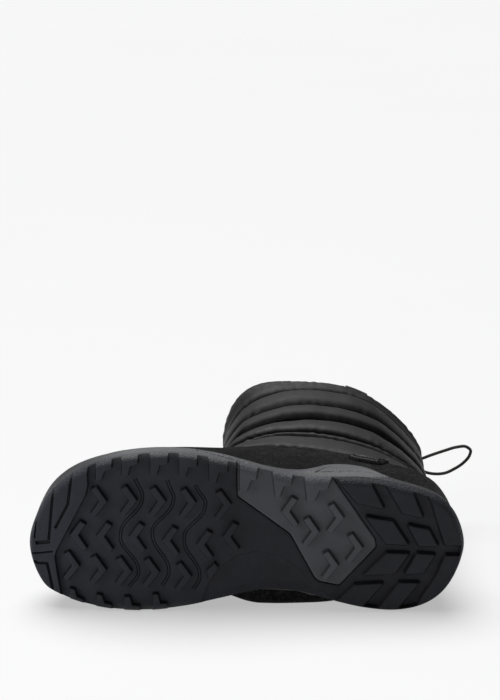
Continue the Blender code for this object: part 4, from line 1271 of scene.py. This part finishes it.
def rubber(name, colour, rough, rim):
    """Moulded rubber, with the grain and colour of the sidewall towards the sole's edge, painted shade on the lug walls
    and feet, and painted light towards the toe.
    """
    k = Look(name, rough, Specular_IOR_Level=0.22)
    patch = k.noise(45, 5, 0.6)
    grain = k.noise(2400, 3, 0.6)
    haze = k.noise(160, 4, 0.55)
    edge, rough_edge, wall, painted_toe_light = (k.new("ShaderNodeAttribute") for _ in range(4))
    edge.attribute_name, rough_edge.attribute_name, wall.attribute_name, painted_toe_light.attribute_name = "edge", "grain", "wall", "painted_toe_light"
    pebble = k.maths("MULTIPLY", k.maths("ADD", k.cells(780), k.noise(1300, 3, 0.6)), rough_edge.outputs["Fac"])
    # Painted light: the tread is darker towards the heel and lighter towards the toe, the side the light falls from.
    plain = k.mix(painted_toe_light.outputs["Fac"], k.ramp(patch, (0.3, tint(colour, 0.60)), (0.7, tint(colour, 0.80))),
                  k.ramp(patch, (0.3, tint(colour, 1.10)), (0.7, tint(colour, 1.36))))
    side = k.ramp(patch, (0.3, tint(rim, 0.93)), (0.7, tint(rim, 1.07)))
    # Painted shade: lug walls, lug feet and the sunk field's edge are darkened as if in shade.
    painted_shade_tone = k.ramp(patch, (0.3, tint(colour, 0.28)), (0.7, tint(colour, 0.42)))
    plain = k.mix(k.span(wall.outputs["Fac"], 0.0, 0.8), plain, painted_shade_tone)
    return k.wire(Base_Color=k.mix(edge.outputs["Fac"], plain, side),
                  Roughness=k.span(haze, rough - 0.07, rough + 0.09, 0.25, 0.75),
                  Normal=k.bump(grain, 0.00006, 0.6, k.bump(pebble, 0.0006, 0.75, k.bump(haze, 0.0002, 0.25))))


def rand_rubber():
    grey, black = RAND_GREY, RAND_BLACK
    k = Look("rand_rubber", 0.58, Specular_IOR_Level=0.3)
    where = k.new("ShaderNodeAttribute")
    where.attribute_name = "zone"
    fac = k.span(where.outputs["Fac"], 0.0, 1.0, -0.25, 0.25)
    patch = k.noise(40, 5, 0.6)
    fine = k.noise(1500, 3, 0.6)
    pebble = k.cells(780)
    pebble2 = k.noise(1300, 3, 0.6)
    a = k.ramp(patch, (0.3, tint(black, 0.85)), (0.7, tint(black, 1.18)))
    b = k.ramp(patch, (0.3, tint(grey, 0.93)), (0.7, tint(grey, 1.07)))
    coarse = k.maths("ADD", pebble, k.maths("MULTIPLY", pebble2, 0.6))
    grainy = k.maths("MULTIPLY", coarse, k.span(fac, 1.0, 0.55))
    return k.wire(Base_Color=k.mix(fac, a, b),
                  Roughness=k.span(fine, 0.46, 0.64, 0.25, 0.75),
                  Normal=k.bump(fine, 0.00008, 0.5, k.bump(grainy, 0.00065, 0.85)))


def threads(name, colour):
    k = Look(name, 0.75, Sheen_Weight=0.1, Specular_IOR_Level=0.2)
    twist = k.noise(2200, 3, 0.6)
    return k.wire(Base_Color=k.ramp(twist, (0.3, tint(colour, 0.65)), (0.7, tint(colour, 1.3))),
                  Normal=k.bump(twist, 0.0001, 0.6))


def suede(name="suede", dim=1.0):
    k = Look(name, 1.0, Sheen_Weight=0.06, Sheen_Roughness=0.5, Specular_IOR_Level=0.05)
    k.b.inputs["Sheen Tint"].default_value = (0.75, 0.75, 0.77, 1)
    nap = k.noise(1100, 6, 0.7)
    brush = k.noise(120, 5, 0.65)
    patch = k.noise(22, 3, 0.5)
    fleck = k.noise(560, 3, 0.6)
    both = k.maths("ADD", k.maths("MULTIPLY", nap, 0.3), k.maths("ADD", k.maths("MULTIPLY", fleck, 0.42), k.maths("ADD", k.maths("MULTIPLY", brush, 0.2), k.maths("MULTIPLY", patch, 0.08))))
    return k.wire(Base_Color=k.ramp(both, (0.42, 0.0008*dim), (0.5, 0.0038*dim), (0.58, 0.019*dim)),
                  Normal=k.bump(nap, 0.0005, 0.9, k.bump(fleck, 0.0007, 0.6)))


def woven(name, colour, rough, sheen, pitch=0.6, quilted=False):
    k = Look(name, rough, Sheen_Weight=sheen, Sheen_Roughness=0.35, Specular_IOR_Level=0.20)
    place = k.new("ShaderNodeUVMap").outputs["UV"]
    split = k.new("ShaderNodeSeparateXYZ", Vector=place)
    a = k.maths("SINE", k.maths("MULTIPLY", split.outputs["X"], 2*np.pi/pitch))
    b = k.maths("SINE", k.maths("MULTIPLY", split.outputs["Y"], 2*np.pi/pitch))
    weave = k.maths("ADD", k.maths("MULTIPLY", k.maths("MULTIPLY", a, b), 0.5), 0.5)
    patch = k.noise(30, 5, 0.6)
    crumple = k.noise(210, 5, 0.55)
    slub = k.noise(1800, 2, 0.5)
    tone = k.maths("ADD", k.maths("MULTIPLY", patch, 0.5), k.maths("ADD", k.maths("MULTIPLY", slub, 0.3), k.maths("MULTIPLY", weave, 0.2)))
    plain = k.ramp(tone, (0.3, tint(colour, 0.8)), (0.7, tint(colour, 1.2)))
    if quilted:
        # Painted shade near the quilting seams: darker colour and less gloss and sheen where the valleys lie in shade.
        where = k.new("ShaderNodeAttribute")
        where.attribute_name = "seam"
        clear_of_painted_shade = k.span(where.outputs["Fac"], 0.0, 1.0, 0.6, 4.4)
        plain = k.mix(clear_of_painted_shade, tint(colour, 0.10), plain)
        k.wire(Specular_IOR_Level=k.span(clear_of_painted_shade, 0.02, 0.20), Sheen_Weight=k.span(clear_of_painted_shade, 0.0, sheen))
    return k.wire(Base_Color=plain,
                  Roughness=k.span(crumple, rough - 0.08, rough + 0.10, 0.25, 0.75),
                  Normal=k.bump(weave, 0.00007, 0.55, k.bump(crumple, 0.0006, 0.35)))


def pile(name, colour):
    k = Look(name, 1.0, Sheen_Weight=0.3, Sheen_Roughness=0.6, Specular_IOR_Level=0.1)
    curl = k.noise(420, 6, 0.7)
    tuft = k.cells(330)
    both = k.maths("ADD", k.maths("MULTIPLY", curl, 0.7), k.maths("MULTIPLY", tuft, 0.5))
    return k.wire(Base_Color=k.ramp(both, (0.3, tint(colour, 0.55)), (0.75, tint(colour, 1.4))),
                  Normal=k.bump(both, 0.0016, 0.9))


def cord_look():
    k = Look("elastic_cord", 0.7, Sheen_Weight=0.2, Specular_IOR_Level=0.3)
    place = k.new("ShaderNodeUVMap").outputs["UV"]
    split = k.new("ShaderNodeSeparateXYZ", Vector=place)
    along = k.maths("MULTIPLY", split.outputs["X"], 2*np.pi/1.9)
    turn = k.maths("MULTIPLY", split.outputs["Y"], 4.0)
    braid = k.maths("MULTIPLY", k.maths("SINE", k.maths("ADD", along, turn)), k.maths("SINE", k.maths("SUBTRACT", along, turn)))
    fuzz = k.noise(2600, 3, 0.6)
    tone = k.maths("ADD", k.maths("MULTIPLY", braid, 0.25), fuzz)
    return k.wire(Base_Color=k.ramp(tone, (0.25, (0.010, 0.009, 0.0085)), (0.8, (0.034, 0.030, 0.028))),
                  Roughness=k.span(fuzz, 0.6, 0.85, 0.3, 0.7),
                  Normal=k.bump(fuzz, 0.0001, 0.5))


def floor_look():
    k = Look("floor_paper", 0.75, Specular_IOR_Level=0.2, Emission_Strength=0.45)
    k.b.inputs["Emission Color"].default_value = (1.0, 1.0, 1.0, 1)
    patch = k.noise(1.2, 3, 0.5)
    return k.wire(Base_Color=k.ramp(patch, (0.3, (0.316, 0.316, 0.317)), (0.7, (0.324, 0.324, 0.325))),
                  Normal=k.bump(k.noise(900, 3, 0.6), 0.00004, 0.3))


# ------------------------------------------------------------------ the boot
RAND_GREY, RAND_BLACK = (0.070, 0.071, 0.075), (0.026, 0.0262, 0.0295)
make_outsole(rubber("tread_rubber", (0.0185, 0.0196, 0.0268), 0.58, RAND_GREY))
make_insert(rubber("grey_rubber", (0.060, 0.0615, 0.070), 0.58, RAND_GREY))
make_midsole(rand_rubber())
make_upper(suede())
nylon = woven("quilted_nylon", (0.0138, 0.0134, 0.0135), 0.58, 0.03, quilted=True)
make_shaft(nylon)
make_collar(woven("rim_nylon", (0.0138, 0.0138, 0.0138), 0.58, 0.03))
fleece = pile("lining_pile", (0.030, 0.030, 0.031))
make_lining(fleece)
make_insole(pile("footbed_felt", (0.045, 0.045, 0.047)))
make_tag(woven("tag_fabric", (0.0045, 0.0045, 0.0045), 0.45, 0.1, 1.1))
make_tab(suede("tab_suede", 0.7), threads("tab_thread", (0.17, 0.166, 0.16)), threads("tab_binding", (0.11, 0.107, 0.102)))
make_cord(cord_look())


# ------------------------------------------------------------------ stage
def make_stage():
    me = bpy.data.meshes.new("floor")
    w = 30.0
    me.from_pydata([(-w, -w, 0), (w, -w, 0), (w, w, 0), (-w, w, 0)], [], [(0, 1, 2, 3)])
    ob = bpy.data.objects.new("floor", me)
    me.materials.append(floor_look())
    bpy.context.scene.collection.objects.link(ob)
    sun = bpy.data.lights.new("softbox", "SUN")
    sun.energy = 4.6
    sun.angle = np.radians(52)
    lamp = bpy.data.objects.new("softbox", sun)
    lamp.rotation_euler = (np.radians(-17), np.radians(-10), 0)
    bpy.context.scene.collection.objects.link(lamp)
    side = bpy.data.lights.new("side_light", "AREA")
    side.size = 0.8
    side.energy = 14.0
    near = bpy.data.objects.new("side_light", side)
    near.location = (-2.0, -1.0, 0.75)
    near.rotation_euler = (np.radians(72), 0, np.radians(-63))
    bpy.context.scene.collection.objects.link(near)
    world = bpy.data.worlds.new("studio")
    world.use_nodes = True
    world.node_tree.nodes["Background"].inputs["Color"].default_value = (1, 1, 1, 1)
    world.node_tree.nodes["Background"].inputs["Strength"].default_value = 0.06
    bpy.context.scene.world = world


def make_camera():
    cam = bpy.data.cameras.new("camera")
    cam.lens = 2325.26*36/700
    cam.sensor_width = 36
    cam.sensor_fit = "AUTO"
    ob = bpy.data.objects.new("camera", cam)
    ob.location = ((REST_X - 142.789)*MM, -1.5 - REST_Y*MM, 0.49832)
    ob.rotation_euler = (np.radians(90 - 11.953), 0, 0)
    bpy.context.scene.collection.objects.link(ob)
    bpy.context.scene.camera = ob


make_stage()
make_camera()
bpy.context.scene.view_settings.view_transform = "Standard"
